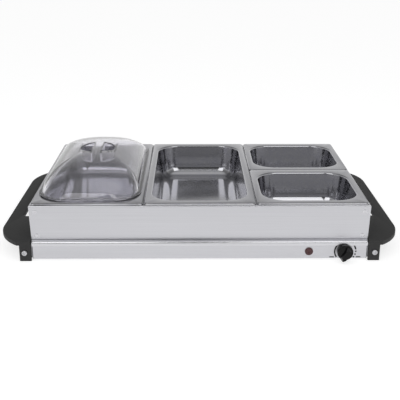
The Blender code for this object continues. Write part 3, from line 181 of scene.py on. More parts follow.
@dataclass(frozen=True)
class Finish:
    """What every finish shares: a name, a colour and how rough the surface is."""

    name: str
    colour: str
    roughness: float
    darker: str = ""
    gloss_spread: float = 0.0
    relief: float = 0.0

    def build(self) -> Material:
        """Make the material, or return the one that is already made.

        Returns:
            The material of this finish.
        """
        made = bpy.data.materials.get(self.name)
        if made:
            return made
        material = bpy.data.materials.new(self.name)
        material.use_nodes = True
        tree = material.node_tree
        shader = tree.nodes["Principled BSDF"]
        shader.inputs["Base Color"].default_value = srgb(self.colour)
        shader.inputs["Roughness"].default_value = self.roughness
        self.detail(tree, shader)
        return material

    def detail(self, tree: Tree, shader: Node) -> None:
        """Add what makes this finish different; the plain finish adds nothing."""

    def coordinates(self, tree: Tree, scale: Point) -> Socket:
        """Return object coordinates, scaled along each axis.

        Args:
            tree: The material's node tree.
            scale: Pattern repeats per metre along X, Y and Z.

        Returns:
            The vector socket to feed a texture.
        """
        place = add_node(tree, "ShaderNodeTexCoord")
        turned = add_node(tree, "ShaderNodeMapping", {"Vector": place.outputs["Object"], "Scale": scale})
        return turned.outputs["Vector"]

    def noise(self, tree: Tree, scale: Point, detail: float, roughness: float = 0.5) -> Socket:
        """Return a noise texture's value.

        Args:
            tree: The material's node tree.
            scale: Pattern repeats per metre along X, Y and Z.
            detail: How many octaves it has.
            roughness: How strong the fine octaves are.

        Returns:
            The value socket, from 0 to 1.
        """
        texture = add_node(tree, "ShaderNodeTexNoise", {
            "Vector": self.coordinates(tree, scale), "Scale": 1.0, "Detail": detail, "Roughness": roughness})
        return texture.outputs["Fac"]

    def vary(self, tree: Tree, shader: Node, signal: Socket) -> None:
        """Let a texture move the tint, the gloss and the relief by this finish's amounts.

        Args:
            tree: The material's node tree.
            shader: The Principled shader.
            signal: A texture's value from 0 to 1.
        """
        if self.darker:
            ramp = add_node(tree, "ShaderNodeValToRGB", {"Fac": signal})
            set_stops(ramp, [(RAMP_START, srgb(self.darker)), (RAMP_END, srgb(self.colour))])
            tree.links.new(ramp.outputs["Color"], shader.inputs["Base Color"])
        if self.gloss_spread:
            amount = add_node(tree, "ShaderNodeMapRange", {
                "Value": signal, "To Min": self.roughness - self.gloss_spread,
                "To Max": self.roughness + self.gloss_spread})
            tree.links.new(amount.outputs["Result"], shader.inputs["Roughness"])
        if self.relief:
            self.add_bump(tree, shader, signal, self.relief)

    def add_bump(self, tree: Tree, shader: Node, signal: Socket, height: float) -> None:
        """Let a texture raise the surface by up to a height in metres."""
        bump = add_node(tree, "ShaderNodeBump", {"Height": signal, "Distance": height, "Strength": 1.0})
        tree.links.new(bump.outputs["Normal"], shader.inputs["Normal"])


@dataclass(frozen=True)
class BrushedSteel(Finish):
    """Stainless sheet, belt-brushed along one axis: soft wide highlights with fine parallel lines."""

    grain: Axis = Axis.X
    darker: str = "#C5C5C9"
    line_length: float = 160 * MM
    # Real brush lines are about 0.1 mm apart; they are drawn 1.3 mm apart so that they show
    line_pitch: float = 1.3 * MM
    gloss_spread: float = 0.04
    relief: float = 0.004 * MM

    def detail(self, tree: Tree, shader: Node) -> None:
        """Stretch noise along the grain into brush lines for tint, gloss and relief."""
        shader.inputs["Metallic"].default_value = 1.0
        scale = [1 / self.line_pitch] * 3
        scale[self.grain.value] = 1 / self.line_length
        self.vary(tree, shader, self.noise(tree, tuple(scale), 3.0, 0.6))


@dataclass(frozen=True)
class DrawnSteel(Finish):
    """Bright deep-drawn stainless steel: mirror-like, with the long soft waves that pressing leaves."""

    darker: str = "#B4B4B6"
    wave_length: float = 45 * MM
    wave_height: float = 0.10 * MM
    smear_length: float = 7 * MM
    gloss_spread: float = 0.03

    def detail(self, tree: Tree, shader: Node) -> None:
        """Add pressing waves to the relief and polishing smears to the gloss."""
        shader.inputs["Metallic"].default_value = 1.0
        self.vary(tree, shader, self.noise(tree, (1 / self.smear_length,) * 3, 4.0))
        self.add_bump(tree, shader, self.noise(tree, (1 / self.wave_length,) * 3, 1.0), self.wave_height)


@dataclass(frozen=True)
class PlatedSteel(Finish):
    """Plated or galvanised steel, rolled aluminium or brass: cloudy metal with a faint crystal pattern."""

    darker: str = "#8F9194"
    spangle: float = 4 * MM
    gloss_spread: float = 0.06

    def detail(self, tree: Tree, shader: Node) -> None:
        """Break the metal into pale and dull patches."""
        shader.inputs["Metallic"].default_value = 1.0
        cells = add_node(tree, "ShaderNodeTexVoronoi", {
            "Vector": self.coordinates(tree, (1 / self.spangle,) * 3), "Scale": 1.0})
        self.vary(tree, shader, cells.outputs["Distance"])


@dataclass(frozen=True)
class MouldedPlastic(Finish):
    """Opaque moulded plastic: a fine spark-eroded grain that breaks up the highlight."""

    darker: str = "#0B0B0C"
    grain: float = 1.1 * MM
    relief: float = 0.02 * MM
    ior: float = 1.5
    # The mould's matt grain scatters most of what a polished face would mirror
    specular: float = 0.22
    gloss_spread: float = 0.05

    def detail(self, tree: Tree, shader: Node) -> None:
        """Add the mould's grain and slight wear to the gloss."""
        shader.inputs["IOR"].default_value = self.ior
        shader.inputs["Specular IOR Level"].default_value = self.specular
        self.vary(tree, shader, self.noise(tree, (1 / self.grain,) * 3, 3.0))


@dataclass(frozen=True)
class ClearPlastic(Finish):
    """Clear moulded polycarbonate or glass: sees through, with a faint flow haze."""

    transmission: float = 0.93
    ior: float = 1.585
    haze: float = 30 * MM
    relief: float = 0.02 * MM

    def detail(self, tree: Tree, shader: Node) -> None:
        """Let light through, and vary the gloss as melted plastic flowed."""
        shader.inputs["Transmission Weight"].default_value = self.transmission
        shader.inputs["IOR"].default_value = self.ior
        self.vary(tree, shader, self.noise(tree, (1 / self.haze,) * 3, 2.0))


SATIN = BrushedSteel("satin_brushed_steel", "#CBCBCF", 0.36)
SATIN_SIDE = BrushedSteel("satin_brushed_steel_side", "#CBCBCF", 0.36, grain=Axis.Y)
PLATE_STEEL = BrushedSteel("bright_brushed_steel", "#D2D2D5", 0.24)
DRAWN = DrawnSteel("bright_drawn_steel", "#AEAEB4", 0.13)
ZINC = PlatedSteel("zinc_plated_steel", "#C4C6C9", 0.26)
GALVANISED = PlatedSteel("galvanised_sheet", "#A9ACB0", 0.42)
ALUMINIUM = PlatedSteel("rolled_aluminium", "#CFD0D2", 0.36, darker="#BDBFC2")
ELEMENT = PlatedSteel("heated_element_steel", "#6F675F", 0.48, darker="#4A4540")
BRASS = PlatedSteel("turned_brass", "#C9A65A", 0.28, darker="#B48F45")
HANDLE_PLASTIC = MouldedPlastic("black_phenolic", "#0C0C0D", 0.44, darker="#090909")
KNOB_PLASTIC = MouldedPlastic("black_abs", "#0A0A0B", 0.24, darker="#060607", relief=0.006 * MM)
PRINT_INK = MouldedPlastic("black_screen_print", "#0C0C0D", 0.60, darker="#080809")
CLEAR_LID = ClearPlastic("clear_polycarbonate", "#F6F5FA", 0.03, gloss_spread=0.015, transmission=0.97)
LAMP_GLASS = ClearPlastic("clear_lamp_glass", "#F3EFEA", 0.02, gloss_spread=0.01, ior=1.52)
RED_LENS = ClearPlastic("red_polycarbonate", "#4A0A12", 0.08, gloss_spread=0.04, transmission=0.30)
CERAMIC = MouldedPlastic("white_steatite", "#E6E3DA", 0.55, darker="#DAD6CC", ior=1.6)
BROWN = MouldedPlastic("brown_pvc_insulation", "#6A3B1E", 0.45, darker="#5C3219")
BLUE = MouldedPlastic("blue_pvc_insulation", "#2D5AA8", 0.45, darker="#274F96")
GREEN = MouldedPlastic("green_pvc_insulation", "#3F8B3A", 0.45, darker="#357832")

# The CAD nodes that stay as they are, by finish and material slot, named by how their names start
CARRIED: dict[tuple[Finish, str], tuple[str, ...]] = {
    (SATIN, "satin_steel"): ("base_housing", "frame_cross_divider"),
    (SATIN_SIDE, "satin_steel"): ("frame_divider",),
    (GALVANISED, "galvanised_sheet"): ("bottom_cover", "handle_bracket"),
    (ZINC, "zinc_plated_steel"): ("bottom_screw", "thermostat_screw", "thermostat_shaft",
                                  "indicator_push_nut", "earth_screw"),
    (ALUMINIUM, "aluminium_sheet"): ("heat_spreader", "heat_shield", "element_clamp"),
    (ELEMENT, "element_steel"): ("heating_element",),
    (CERAMIC, "white_insulator"): ("thermostat_body", "terminal_block", "thermal_fuse"),
    (LAMP_GLASS, "lamp_glass"): ("indicator_lamp",),
    (BRASS, "brass"): ("terminal_screw",),
    (BROWN, "brown_insulation"): ("live_wire", "switched_wire", "lamp_wire_live"),
    (BLUE, "blue_insulation"): ("neutral_wire", "lamp_wire_neutral"),
    (GREEN, "green_insulation"): ("earth_wire",),
}


# The bench


class Bench:
    """One piece being modelled in edit mode; its object stays at the origin, so places are in the mesh."""

    def __init__(self, name: str) -> None:
        """Start an empty mesh from a plane primitive and open it in edit mode."""
        bpy.ops.object.select_all(action="DESELECT")
        bpy.ops.mesh.primitive_plane_add(size=1.0, location=(0.0, 0.0, 0.0))
        self.piece: Piece = bpy.context.object
        self.piece.name = name
        self.piece.data.name = name
        bpy.ops.object.mode_set(mode="EDIT")
        bpy.ops.mesh.select_mode(type="VERT")
        bpy.ops.mesh.select_all(action="SELECT")
        self.used = False

    def rectangle(self, half_x: float, half_y: float, centre: Vector, corner: float = 0.0,
                  steps: int = 8) -> None:
        """Lay a flat rectangle with rounded corners; it stays selected.

        Args:
            half_x: Half its width.
            half_y: Half its depth.
            centre: Its middle.
            corner: Radius of its corners.
            steps: Facets in each corner.
        """
        self.seed()
        bpy.ops.transform.resize(value=(2 * half_x, 2 * half_y, 1.0), center_override=(0, 0, 0))
        bpy.ops.transform.translate(value=centre)
        if corner:
            bpy.ops.mesh.bevel(offset=corner, segments=steps, affect="VERTICES", profile=0.5)
            bpy.ops.mesh.select_linked()

    def seed(self) -> None:
        """Give the first shape the starting plane, and any later one a plane of its own."""
        if self.used:
            bpy.ops.mesh.select_all(action="DESELECT")
            bpy.ops.mesh.primitive_plane_add(size=1.0, location=(0.0, 0.0, 0.0))
        self.used = True

    def trace(self, points: Sequence[Sequence[float]], fill: bool = True) -> None:
        """Draw an outline by extruding one vertex from point to point.

        Args:
            points: Corners in order.
            fill: Whether to close the outline with a face.
        """
        self.seed()
        bpy.ops.mesh.merge(type="CENTER")
        bpy.ops.transform.translate(value=Vector(points[0]))
        for before, after in zip(points, points[1:]):
            bpy.ops.mesh.extrude_vertices_move(
                TRANSFORM_OT_translate={"value": Vector(after) - Vector(before)})
        bpy.ops.mesh.select_linked()
        if fill:
            bpy.ops.mesh.edge_face_add()

    def extrude(self, step: Sequence[float]) -> None:
        """Extrude the selected faces by a vector."""
        bpy.ops.mesh.extrude_region_move(TRANSFORM_OT_translate={"value": Vector(step)})

    def resize(self, factors: Sequence[float], centre: Sequence[float]) -> None:
        """Scale what is selected about a point."""
        bpy.ops.transform.resize(value=tuple(factors), center_override=tuple(centre))

    def inset(self, thickness: float, depth: float) -> None:
        """Draw the selected face in by an even margin and move it along its normal."""
        bpy.ops.mesh.inset(thickness=thickness, depth=depth, use_even_offset=True)

    def ring(self, row: Ring, centre: Vector, steps: int) -> None:
        """Lay one rounded rectangle as a circle whose quarters are moved apart; its edges stay selected.

        Args:
            row: Half width, half depth, corner radius and height.
            centre: Middle of the ring in plan.
            steps: Points in each corner.
        """
        half_x, half_y, corner, height = row
        count = 4 * steps
        middle = centre + Vector((0.0, 0.0, height))
        start = len(bmesh.from_edit_mesh(self.piece.data).verts)
        bpy.ops.mesh.select_all(action="DESELECT")
        bpy.ops.mesh.primitive_circle_add(vertices=count, radius=corner / math.cos(math.pi / count),
                                          location=middle, rotation=(0.0, 0.0, math.pi / count))
        for axis, reach in ((0, half_x - corner), (1, half_y - corner)):
            for sign in (-1, 1):
                self.pick_newest(start, lambda point: (point[axis] - middle[axis]) * sign > 0)
                step = [0.0, 0.0, 0.0]
                step[axis] = reach * sign
                bpy.ops.transform.translate(value=step)
        self.pick_newest(start, lambda point: True)

    def pick_newest(self, start: int, test: Callable[[Vector], bool]) -> None:
        """Select the vertices added after a count that pass a test on their place."""
        bpy.ops.mesh.select_all(action="DESELECT")
        bpy.ops.mesh.select_mode(type="VERT")
        work = bmesh.from_edit_mesh(self.piece.data)
        work.verts.ensure_lookup_table()
        for vertex in work.verts[start:]:
            vertex.select = test(vertex.co)
        work.select_flush_mode()
        bmesh.update_edit_mesh(self.piece.data)

    def loft(self, rows: Sequence[Ring], centre: Vector, steps: int = 12) -> None:
        """Bridge rings one after the other, and close both ends.

        Args:
            rows: The rings, in order.
            centre: Middle of the rings in plan.
            steps: Points in each corner.
        """
        bpy.ops.mesh.select_all(action="SELECT")
        bpy.ops.mesh.delete(type="VERT")
        count = 4 * steps
        for index, row in enumerate(rows):
            self.ring(row, centre, steps)
            if index == 0:
                bpy.ops.mesh.edge_face_add()
                continue
            self.pick_newest(count * (index - 1), lambda point: True)
            if abs(row[3] - rows[index - 1][3]) < MERGE_DISTANCE:
                bpy.ops.mesh.fill()
            else:
                bpy.ops.mesh.bridge_edge_loops()
        self.pick_newest(count * (len(rows) - 1), lambda point: True)
        bpy.ops.mesh.edge_face_add()

    def pick(self, test: Callable[[Vector], bool], kind: str = "VERT") -> None:
        """Select the vertices, edges or faces that all lie where a test says.

        Args:
            test: Takes a vertex's place and says whether it counts.
            kind: VERT, EDGE or FACE.
        """
        bpy.ops.mesh.select_all(action="DESELECT")
        bpy.ops.mesh.select_mode(type=kind)
        work = bmesh.from_edit_mesh(self.piece.data)
        groups = {"VERT": work.verts, "EDGE": work.edges, "FACE": work.faces}
        for part in groups[kind]:
            corners = [part] if kind == "VERT" else list(part.verts)
            part.select = all(test(corner.co) for corner in corners)
        work.select_flush_mode()
        bmesh.update_edit_mesh(self.piece.data)

    def spin(self, centre: Sequence[float], axis: Axis, steps: int) -> None:
        """Turn what is selected once round an axis.

        Args:
            centre: A point on the axis.
            axis: The way that the axis runs.
            steps: Facets in the turn.
        """
        bpy.ops.mesh.spin(steps=steps, angle=math.tau, center=tuple(centre), axis=axis.vector(),
                          use_auto_merge=False)

    def clean(self) -> None:
        """Merge doubled points and turn all faces outwards."""
        bpy.ops.mesh.select_mode(type="VERT")
        bpy.ops.mesh.select_all(action="SELECT")
        bpy.ops.mesh.remove_doubles(threshold=MERGE_DISTANCE)
        bpy.ops.mesh.normals_make_consistent(inside=False)

    def face_up(self) -> None:
        """Turn an open sheet so that its lowest face looks up."""
        self.clean()
        work = bmesh.from_edit_mesh(self.piece.data)
        lowest = min(work.faces, key=lambda face: face.calc_center_median().z)
        if lowest.normal.z < 0:
            bpy.ops.mesh.flip_normals()

    def close(self) -> None:
        """Leave edit mode and make this the only selected object."""
        bpy.ops.object.mode_set(mode="OBJECT")
        bpy.ops.object.select_all(action="DESELECT")
        self.piece.select_set(True)
        bpy.context.view_layer.objects.active = self.piece

    def seal(self) -> "Bench":
        """Clean the closed body, leave edit mode and return this bench."""
        self.clean()
        self.close()
        return self

    def modify(self, kind: str, **settings) -> None:
        """Add a modifier and apply it at once."""
        change = self.piece.modifiers.new(kind.title(), kind)
        for name, value in settings.items():
            setattr(change, name, value)
        bpy.context.view_layer.objects.active = self.piece
        bpy.ops.object.modifier_apply(modifier=change.name)

    def round_edges(self, width: float, segments: int, sharpest: float = CRISP_EDGE) -> None:
        """Round every edge that bends by more than an angle."""
        self.modify("BEVEL", width=width, segments=segments, limit_method="ANGLE", angle_limit=sharpest)

    def boolean(self, tool: "Bench", operation: str) -> None:
        """Join, cut or keep what is common with another piece, and remove that piece."""
        self.modify("BOOLEAN", object=tool.piece, operation=operation, solver="EXACT")
        bpy.data.objects.remove(tool.piece, do_unlink=True)

    def finish(self, look: Finish, slot: str, body: str, *nodes: str) -> Piece:
        """Smooth and dress the piece, seat it on its body and let it stand for CAD nodes.

        Args:
            look: Its finish.
            slot: The record's material slot; not used.
            body: Name of the CAD body that it rides on.
            nodes: CAD nodes that it replaces.

        Returns:
            The finished object.
        """
        bpy.ops.object.select_all(action="DESELECT")
        self.piece.select_set(True)
        bpy.context.view_layer.objects.active = self.piece
        bpy.ops.object.shade_smooth_by_angle(angle=SMOOTH_ANGLE)
        self.piece.data.materials.clear()
        self.piece.data.materials.append(look.build())
        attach(self.piece, body)
        if nodes:
            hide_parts(*nodes)
        LOG.info("%s: %d faces, rides on %s", self.piece.name, len(self.piece.data.polygons), body)
        return self.piece


def quarter(steps: int) -> list[float]:
    """Return the angles of a quarter turn, from 0 to a right angle."""
    return [math.pi / 2 * step / steps for step in range(steps + 1)]


def plan_of(node: str) -> tuple[Vector, Vector, Vector, float, float]:
    """Return a CAD node's box and its plan.

    Args:
        node: Name of the node.

    Returns:
        Its low corner, its high corner, its middle in plan at height 0, half its width and half its depth.
    """
    low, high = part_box(node)
    centre = Vector(((low.x + high.x) / 2, (low.y + high.y) / 2, 0.0))
    return low, high, centre, (high.x - low.x) / 2, (high.y - low.y) / 2


def prism(name: str, outline: Sequence[Sequence[float]], step: Sequence[float],
          shrink: Point = (1.0, 1.0, 1.0), anchor: Point = (0.0, 0.0, 0.0)) -> Bench:
    """Model a straight or tapered body by extruding an outline.

    Args:
        name: Name of the piece.
        outline: Its corners in order.
        step: How far and which way it is extruded.
        shrink: Factors that size its far face.
        anchor: The point about which that face shrinks.

    Returns:
        The bench that holds the closed piece, out of edit mode.
    """
    bench = Bench(name)
    bench.trace(outline)
    bench.extrude(step)
    if shrink != (1.0, 1.0, 1.0):
        bench.resize(shrink, anchor)
    return bench.seal()


def turned_piece(name: str, profile: Sequence[tuple[float, float]], centre: Point, axis: Axis,
                 facing: Side, steps: int = 48) -> Bench:
    """Model a turned piece by spinning half its section.

    Args:
        name: Name of the piece.
        profile: Radius and distance along the axis of each point.
        centre: Where the distance is 0.
        axis: Axis of the turn.
        facing: The way in which the distance grows.
        steps: Facets in the turn.

    Returns:
        The bench that holds the closed piece, out of edit mode.
    """
    out = {Axis.X: Vector((0, 0, 1)), Axis.Y: Vector((1, 0, 0)), Axis.Z: Vector((1, 0, 0))}[axis]
    middle = Vector(centre)
    rows = [middle + out * radius + axis.vector() * (along * facing.value) for radius, along in profile]
    bench = Bench(name)
    bench.trace(rows, fill=False)
    bench.spin(middle, axis, steps)
    return bench.seal()


# Pans


@dataclass
class DrawnPan:
    """One deep-drawn pan: rolled rim, straight walls with a slight draft, and a wide floor fillet."""

    node: str
    rim_side: float = 0.0115
    rim_end: float = 0.0155
    corner: float = 0.038
    rim_corner: float = 0.008
    rim_roll: float = 0.0022
    rim_drop: float = 0.0029
    lip: float = 0.003
    depth: float = 0.056
    sheet: float = 0.0007
    draft: float = 0.006
    fillet: float = 0.018
    corner_steps: int = 14
    arc_steps: int = 8

    def build(self) -> Piece:
        """Model the pan in place of its CAD node.

        Returns:
            The finished pan.
        """
        _, high, centre, half_x, half_y = plan_of(self.node)
        centre.z = high.z
        bench = Bench(self.node + "_drawn")
        bench.rectangle(half_x - self.rim_roll, half_y - self.rim_roll, centre,
                        self.rim_corner - self.rim_roll, self.corner_steps)
        bpy.ops.mesh.delete(type="ONLY_FACE")
        opening_x = half_x - self.rim_side + self.lip
        opening_y = half_y - self.rim_end + self.lip
        bench.rectangle(opening_x, opening_y, centre, self.corner + self.lip, self.corner_steps)
        self.draw_bowl(bench)
        bench.pick(lambda point: point.z > centre.z - MERGE_DISTANCE, "EDGE")
        bpy.ops.mesh.fill()
        self.roll_rim(bench, centre, half_x, half_y)
        bench.face_up()
        bench.close()
        bench.modify("SOLIDIFY", thickness=self.sheet, offset=-1.0, use_even_offset=False)
        return bench.finish(DRAWN, "polished_steel", self.node, self.node)

    def draw_bowl(self, bench: Bench) -> None:
        """Draw the selected face down into lip, wall, floor fillet and floor."""
        angles = quarter(self.arc_steps)
        for before, after in zip(angles, angles[1:]):
            bench.inset(self.lip * (math.sin(after) - math.sin(before)),
                        -self.lip * (math.cos(before) - math.cos(after)))
        wall = self.depth - self.lip - self.fillet
        for _ in range(2):
            bench.inset(self.draft / 2, -wall / 2)
        for before, after in zip(angles, angles[1:]):
            bench.inset(self.fillet * (math.cos(before) - math.cos(after)),
                        -self.fillet * (math.sin(after) - math.sin(before)))

    def roll_rim(self, bench: Bench, centre: Vector, half_x: float, half_y: float) -> None:
        """Roll the rim's outer edge down and turn its hem in.

        Args:
            bench: The bench that holds the pan.
            centre: Middle of the pan at the rim's height.
            half_x: Half its width over the rim.
            half_y: Half its depth over the rim.
        """
        start_x, start_y = half_x - self.rim_roll, half_y - self.rim_roll
        reach = self.rim_corner

        def is_outer(point: Vector) -> bool:
            across = abs(point.x - centre.x) - (start_x - reach)
            along = abs(point.y - centre.y) - (start_y - reach)
            edge = max(across, along) > reach - MERGE_DISTANCE
            corner = min(across, along) > 0
            return point.z > centre.z - MERGE_DISTANCE and (edge or corner)

        bench.pick(is_outer, "EDGE")
        out, down = 0.0, 0.0
        for angle in quarter(self.arc_steps)[1:]:
            step_out = self.rim_roll * math.sin(angle) - out
            step_down = self.rim_roll * (1 - math.cos(angle)) - down
            self.extend(bench, centre, start_x + out, start_y + out, step_out, step_down)
            out, down = out + step_out, down + step_down
        self.extend(bench, centre, half_x, half_y, 0.0, self.rim_drop - self.rim_roll)

    def extend(self, bench: Bench, centre: Vector, half_x: float, half_y: float, out: float,
               down: float) -> None:
        """Extrude the selected loop outwards and down by small amounts."""
        bpy.ops.mesh.extrude_edges_move(TRANSFORM_OT_translate={"value": (0.0, 0.0, -down)})
        if out:
            bench.resize(((half_x + out) / half_x, (half_y + out) / half_y, 1.0), centre)


# Lid


@dataclass
class ClearLid:
    """The clear dome over the left pan, with a hand grip of two half-moon pockets."""

    node: str = "pan_lid"
    flange: float = 0.0042
    wall: float = 0.0020
    ridge: float = 0.0022
    ridge_wall: float = 0.0014
    ridge_set_in: float = 0.0062
    ridge_set_in_end: float = 0.0032
    corner: float = 0.0439
    rounding_power: float = 0.25
    # A corner stops just short of half the width, so that its ring keeps a straight side
    widest_bend: float = 0.999
    rings: int = 24
    grip_radius: float = 0.0310
    bar: float = 0.0180
    pocket: float = 0.0200
    pocket_draft: float = 0.0040
    edge_round: float = 0.0009
    arc_steps: int = 28

    def dome(self, half_x: float, half_y: float, corner: float, foot: float, crown: float) -> list[Ring]:
        """Return the rings of a crowned dome, whose ends turn rounder as they rise.

        Args:
            half_x: Half its width at the foot.
            half_y: Half its depth at the foot.
            corner: Radius of its corners at the foot.
            foot: Height of the foot.
            crown: Height of the top.

        Returns:
            The rings from the foot to the top.
        """
        rows = []
        for ring in range(self.rings):
            angle = math.pi / 2 * ring / self.rings
            share = math.cos(angle)
            bend = corner + (half_x - corner) * (1 - share) ** self.rounding_power
            rows.append((half_x * share, half_y * share, min(bend, half_x * self.widest_bend) * share,
                         foot + (crown - foot) * math.sin(angle)))
        return rows

    def build(self) -> Piece:
        """Model the lid in place of its CAD node.

        Returns:
            The finished lid.
        """
        low, high, centre, half_x, half_y = plan_of(self.node)
        seat = low.z + self.ridge
        rows = self.dome(half_x - self.flange, half_y - self.flange, self.corner - self.flange,
                         seat + self.wall, high.z)[::-1]
        ridge_x, ridge_y = half_x - self.ridge_set_in, half_y - self.ridge_set_in_end
        ridge_corner = self.corner - self.ridge_set_in
        rows += [(half_x, half_y, self.corner, seat + self.wall), (half_x, half_y, self.corner, seat),
                 (ridge_x, ridge_y, ridge_corner, seat), (ridge_x, ridge_y, ridge_corner, low.z)]
        bench = self.lofted("clear_lid", rows, centre)
        inner_x, inner_y = ridge_x - self.ridge_wall, ridge_y - self.ridge_wall - self.wall
        inner_corner = ridge_corner - self.ridge_wall
        rows = [(inner_x, inner_y, inner_corner, low.z - self.wall)]
        rows += self.dome(inner_x, inner_y, inner_corner, seat, high.z - self.wall)
        hollow = self.lofted("lid_hollow", rows, centre)
        floor = high.z - self.pocket
        for side in Side:
            pocket = self.half_moon(centre, side, self.grip_radius, self.bar / 2, floor, high.z + self.wall)
            bench.boolean(pocket, "DIFFERENCE")
            wall = self.half_moon(centre, side, self.grip_radius + self.wall, self.bar / 2 - self.wall,
                                  floor - self.wall, high.z + self.wall)
            hollow.boolean(wall, "DIFFERENCE")
        bench.boolean(hollow, "DIFFERENCE")
        bench.round_edges(self.edge_round, 3)
        return bench.finish(CLEAR_LID, "clear_plastic", Body.LID.value, self.node)

    def lofted(self, name: str, rows: list[Ring], centre: Vector) -> Bench:
        """Loft rings into one closed body."""
        bench = Bench(name)
        bench.loft(rows, centre)
        return bench.seal()

    def half_moon(self, centre: Vector, side: Side, radius: float, bar_half: float, low: float,
                  high: float) -> Bench:
        """Model one half-moon of the grip, narrower at the bottom.

        Args:
            centre: Middle of the grip in plan.
            side: Which side of the bar it lies on.
            radius: Radius of its arc at the top.
            bar_half: Half the width of the bar between the two.
            low: Height of its bottom.
            high: Height of its top.

        Returns:
            The bench that holds the closed body.
        """
        start = math.asin(bar_half / radius) - math.pi / 2
        points = []
        for step in range(self.arc_steps + 1):
            angle = start - 2 * start * step / self.arc_steps
            points.append((centre.x + side.value * radius * math.cos(angle),
                           centre.y + radius * math.sin(angle), high))
        shrink = (radius - self.pocket_draft) / radius
        anchor = (centre.x + side.value * bar_half, centre.y, low)
        return prism("half_moon", points, (0.0, 0.0, low - high), (shrink, shrink, 1.0), anchor)


# Frame


@dataclass
class CarrierFrame:
    """The four folded walls that carry the pans, with the spot welds that hold their corners."""

    lean: float = 0.0014
    sheet: float = 0.0009
    top_flange: float = 0.0100
    bottom_flange: float = 0.0060
    bend: float = 0.0020
    bend_steps: int = 7
    weld_radius: float = 0.0034
    weld_height: float = 0.00025
    weld_set_in: float = 0.0090
    weld_low: float = 0.0065
    weld_high: float = 0.0100
    # Radius and rise of a weld mark's ring and dimple, as shares of its own
    weld_profile: Sequence[tuple[float, float]] = ((0.0, -1.0), (0.0, 0.3), (0.45, 0.2), (0.62, 1.0),
                                                   (0.80, 1.0), (1.0, 0.0), (1.0, -1.0))
    bottom: float = field(init=False)
    top: float = field(init=False)
    half_x: float = field(init=False)
    half_y: float = field(init=False)
    middle_y: float = field(init=False)

    def build(self) -> list[Piece]:
        """Model the walls and the weld marks.

        Returns:
            The finished pieces.
        """
        low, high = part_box("frame_front_panel")
        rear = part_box("frame_rear_panel")[1].y
        self.bottom, self.top = low.z, high.z
        self.half_x, self.half_y = high.x, (rear - low.y) / 2
        self.middle_y = (rear + low.y) / 2
        pieces = [self.wall("front_skirt", Axis.Y, Side.NEGATIVE, "frame_front_panel"),
                  self.wall("rear_skirt", Axis.Y, Side.POSITIVE, "frame_rear_panel"),
                  self.wall("left_end_skirt", Axis.X, Side.NEGATIVE, "frame_left_end"),
                  self.wall("right_end_skirt", Axis.X, Side.POSITIVE, "frame_right_end")]
        return pieces + self.welds()

    def section(self) -> list[tuple[float, float]]:
        """Return the wall's outer face as inset and height, from the bottom flange to the top one."""
        rows = [(self.bottom_flange, self.bottom), (self.lean, self.bottom)]
        for angle in quarter(self.bend_steps):
            rows.append((self.bend * (1 - math.cos(angle)), self.top - self.bend * (1 - math.sin(angle))))
        rows.append((self.top_flange, self.top))
        return rows

    def wall(self, name: str, facing: Axis, side: Side, node: str) -> Piece:
        """Model one wall: its section drawn along the wall and cut to mitres at both ends.

        Args:
            name: Name of the piece.
            facing: Axis that the wall faces.
            side: Which way along that axis.
            node: The CAD node that it replaces.

        Returns:
            The finished wall.
        """
        face = self.half_y if facing is Axis.Y else self.half_x
        length = self.half_x if facing is Axis.Y else self.half_y
        bench = Bench(name)

        def place(along: float, inset: float, height: float) -> Vector:
            out = side.value * (face - inset)
            if facing is Axis.Y:
                return Vector((along, self.middle_y + out, height))
            return Vector((out, self.middle_y + along, height))

        bench.trace([place(-length, inset, height) for inset, height in self.section()], fill=False)
        along = Axis.X if facing is Axis.Y else Axis.Y
        bpy.ops.mesh.extrude_edges_move(TRANSFORM_OT_translate={"value": along.vector() * (2 * length)})
        for end in Side:
            self.cut_mitre(facing, side, end)
        bench.clean()
        self.turn_outwards(bench, facing, side)
        bench.close()
        bench.modify("SOLIDIFY", thickness=self.sheet, offset=-1.0, use_even_offset=True)
        look = SATIN if facing is Axis.Y else SATIN_SIDE
        return bench.finish(look, "satin_steel", Body.FRAME.value, node)

    def cut_mitre(self, facing: Axis, side: Side, end: Side) -> None:
        """Cut the open wall at 45 degrees where it meets its neighbour."""
        sign_x, sign_y = (end.value, side.value) if facing is Axis.Y else (side.value, end.value)
        corner = Vector((sign_x * self.half_x, self.middle_y + sign_y * self.half_y, self.top))
        normal = Vector((sign_x, -sign_y, 0.0)) if facing is Axis.Y else Vector((-sign_x, sign_y, 0.0))
        bpy.ops.mesh.select_all(action="SELECT")
        bpy.ops.mesh.bisect(plane_co=corner, plane_no=normal, clear_outer=True, clear_inner=False)

    def turn_outwards(self, bench: Bench, facing: Axis, side: Side) -> None:
        """Make the wall's big face look out of the frame."""
        work = bmesh.from_edit_mesh(bench.piece.data)
        widest = max(work.faces, key=lambda face: face.calc_area())
        if widest.normal[facing.value] * side.value < 0:
            bpy.ops.mesh.select_all(action="SELECT")
            bpy.ops.mesh.flip_normals()

    def welds(self) -> list[Piece]:
        """Model one weld mark and copy it to the corners of the front and rear walls.

        Returns:
            The weld marks.
        """
        profile = [(self.weld_radius * out, self.weld_height * rise) for out, rise in self.weld_profile]
        heights = {"low": self.bottom + self.weld_low, "high": self.top - self.weld_high}
        pieces = []
        for side in Side:
            for end in Side:
                for label, height in heights.items():
                    lean = self.lean * (self.top - height) / (self.top - self.bottom)
                    x = end.value * (self.half_x - lean - self.weld_set_in)
                    y = self.middle_y + side.value * (self.half_y - lean)
                    name = f"weld_{side.name}_{end.name}_{label}".lower()
                    bench = turned_piece(name, profile, (x, y, height), Axis.Y, side, 24)
                    pieces.append(bench.finish(PLATE_STEEL, "satin_steel", Body.FRAME.value))
        return pieces


# Base


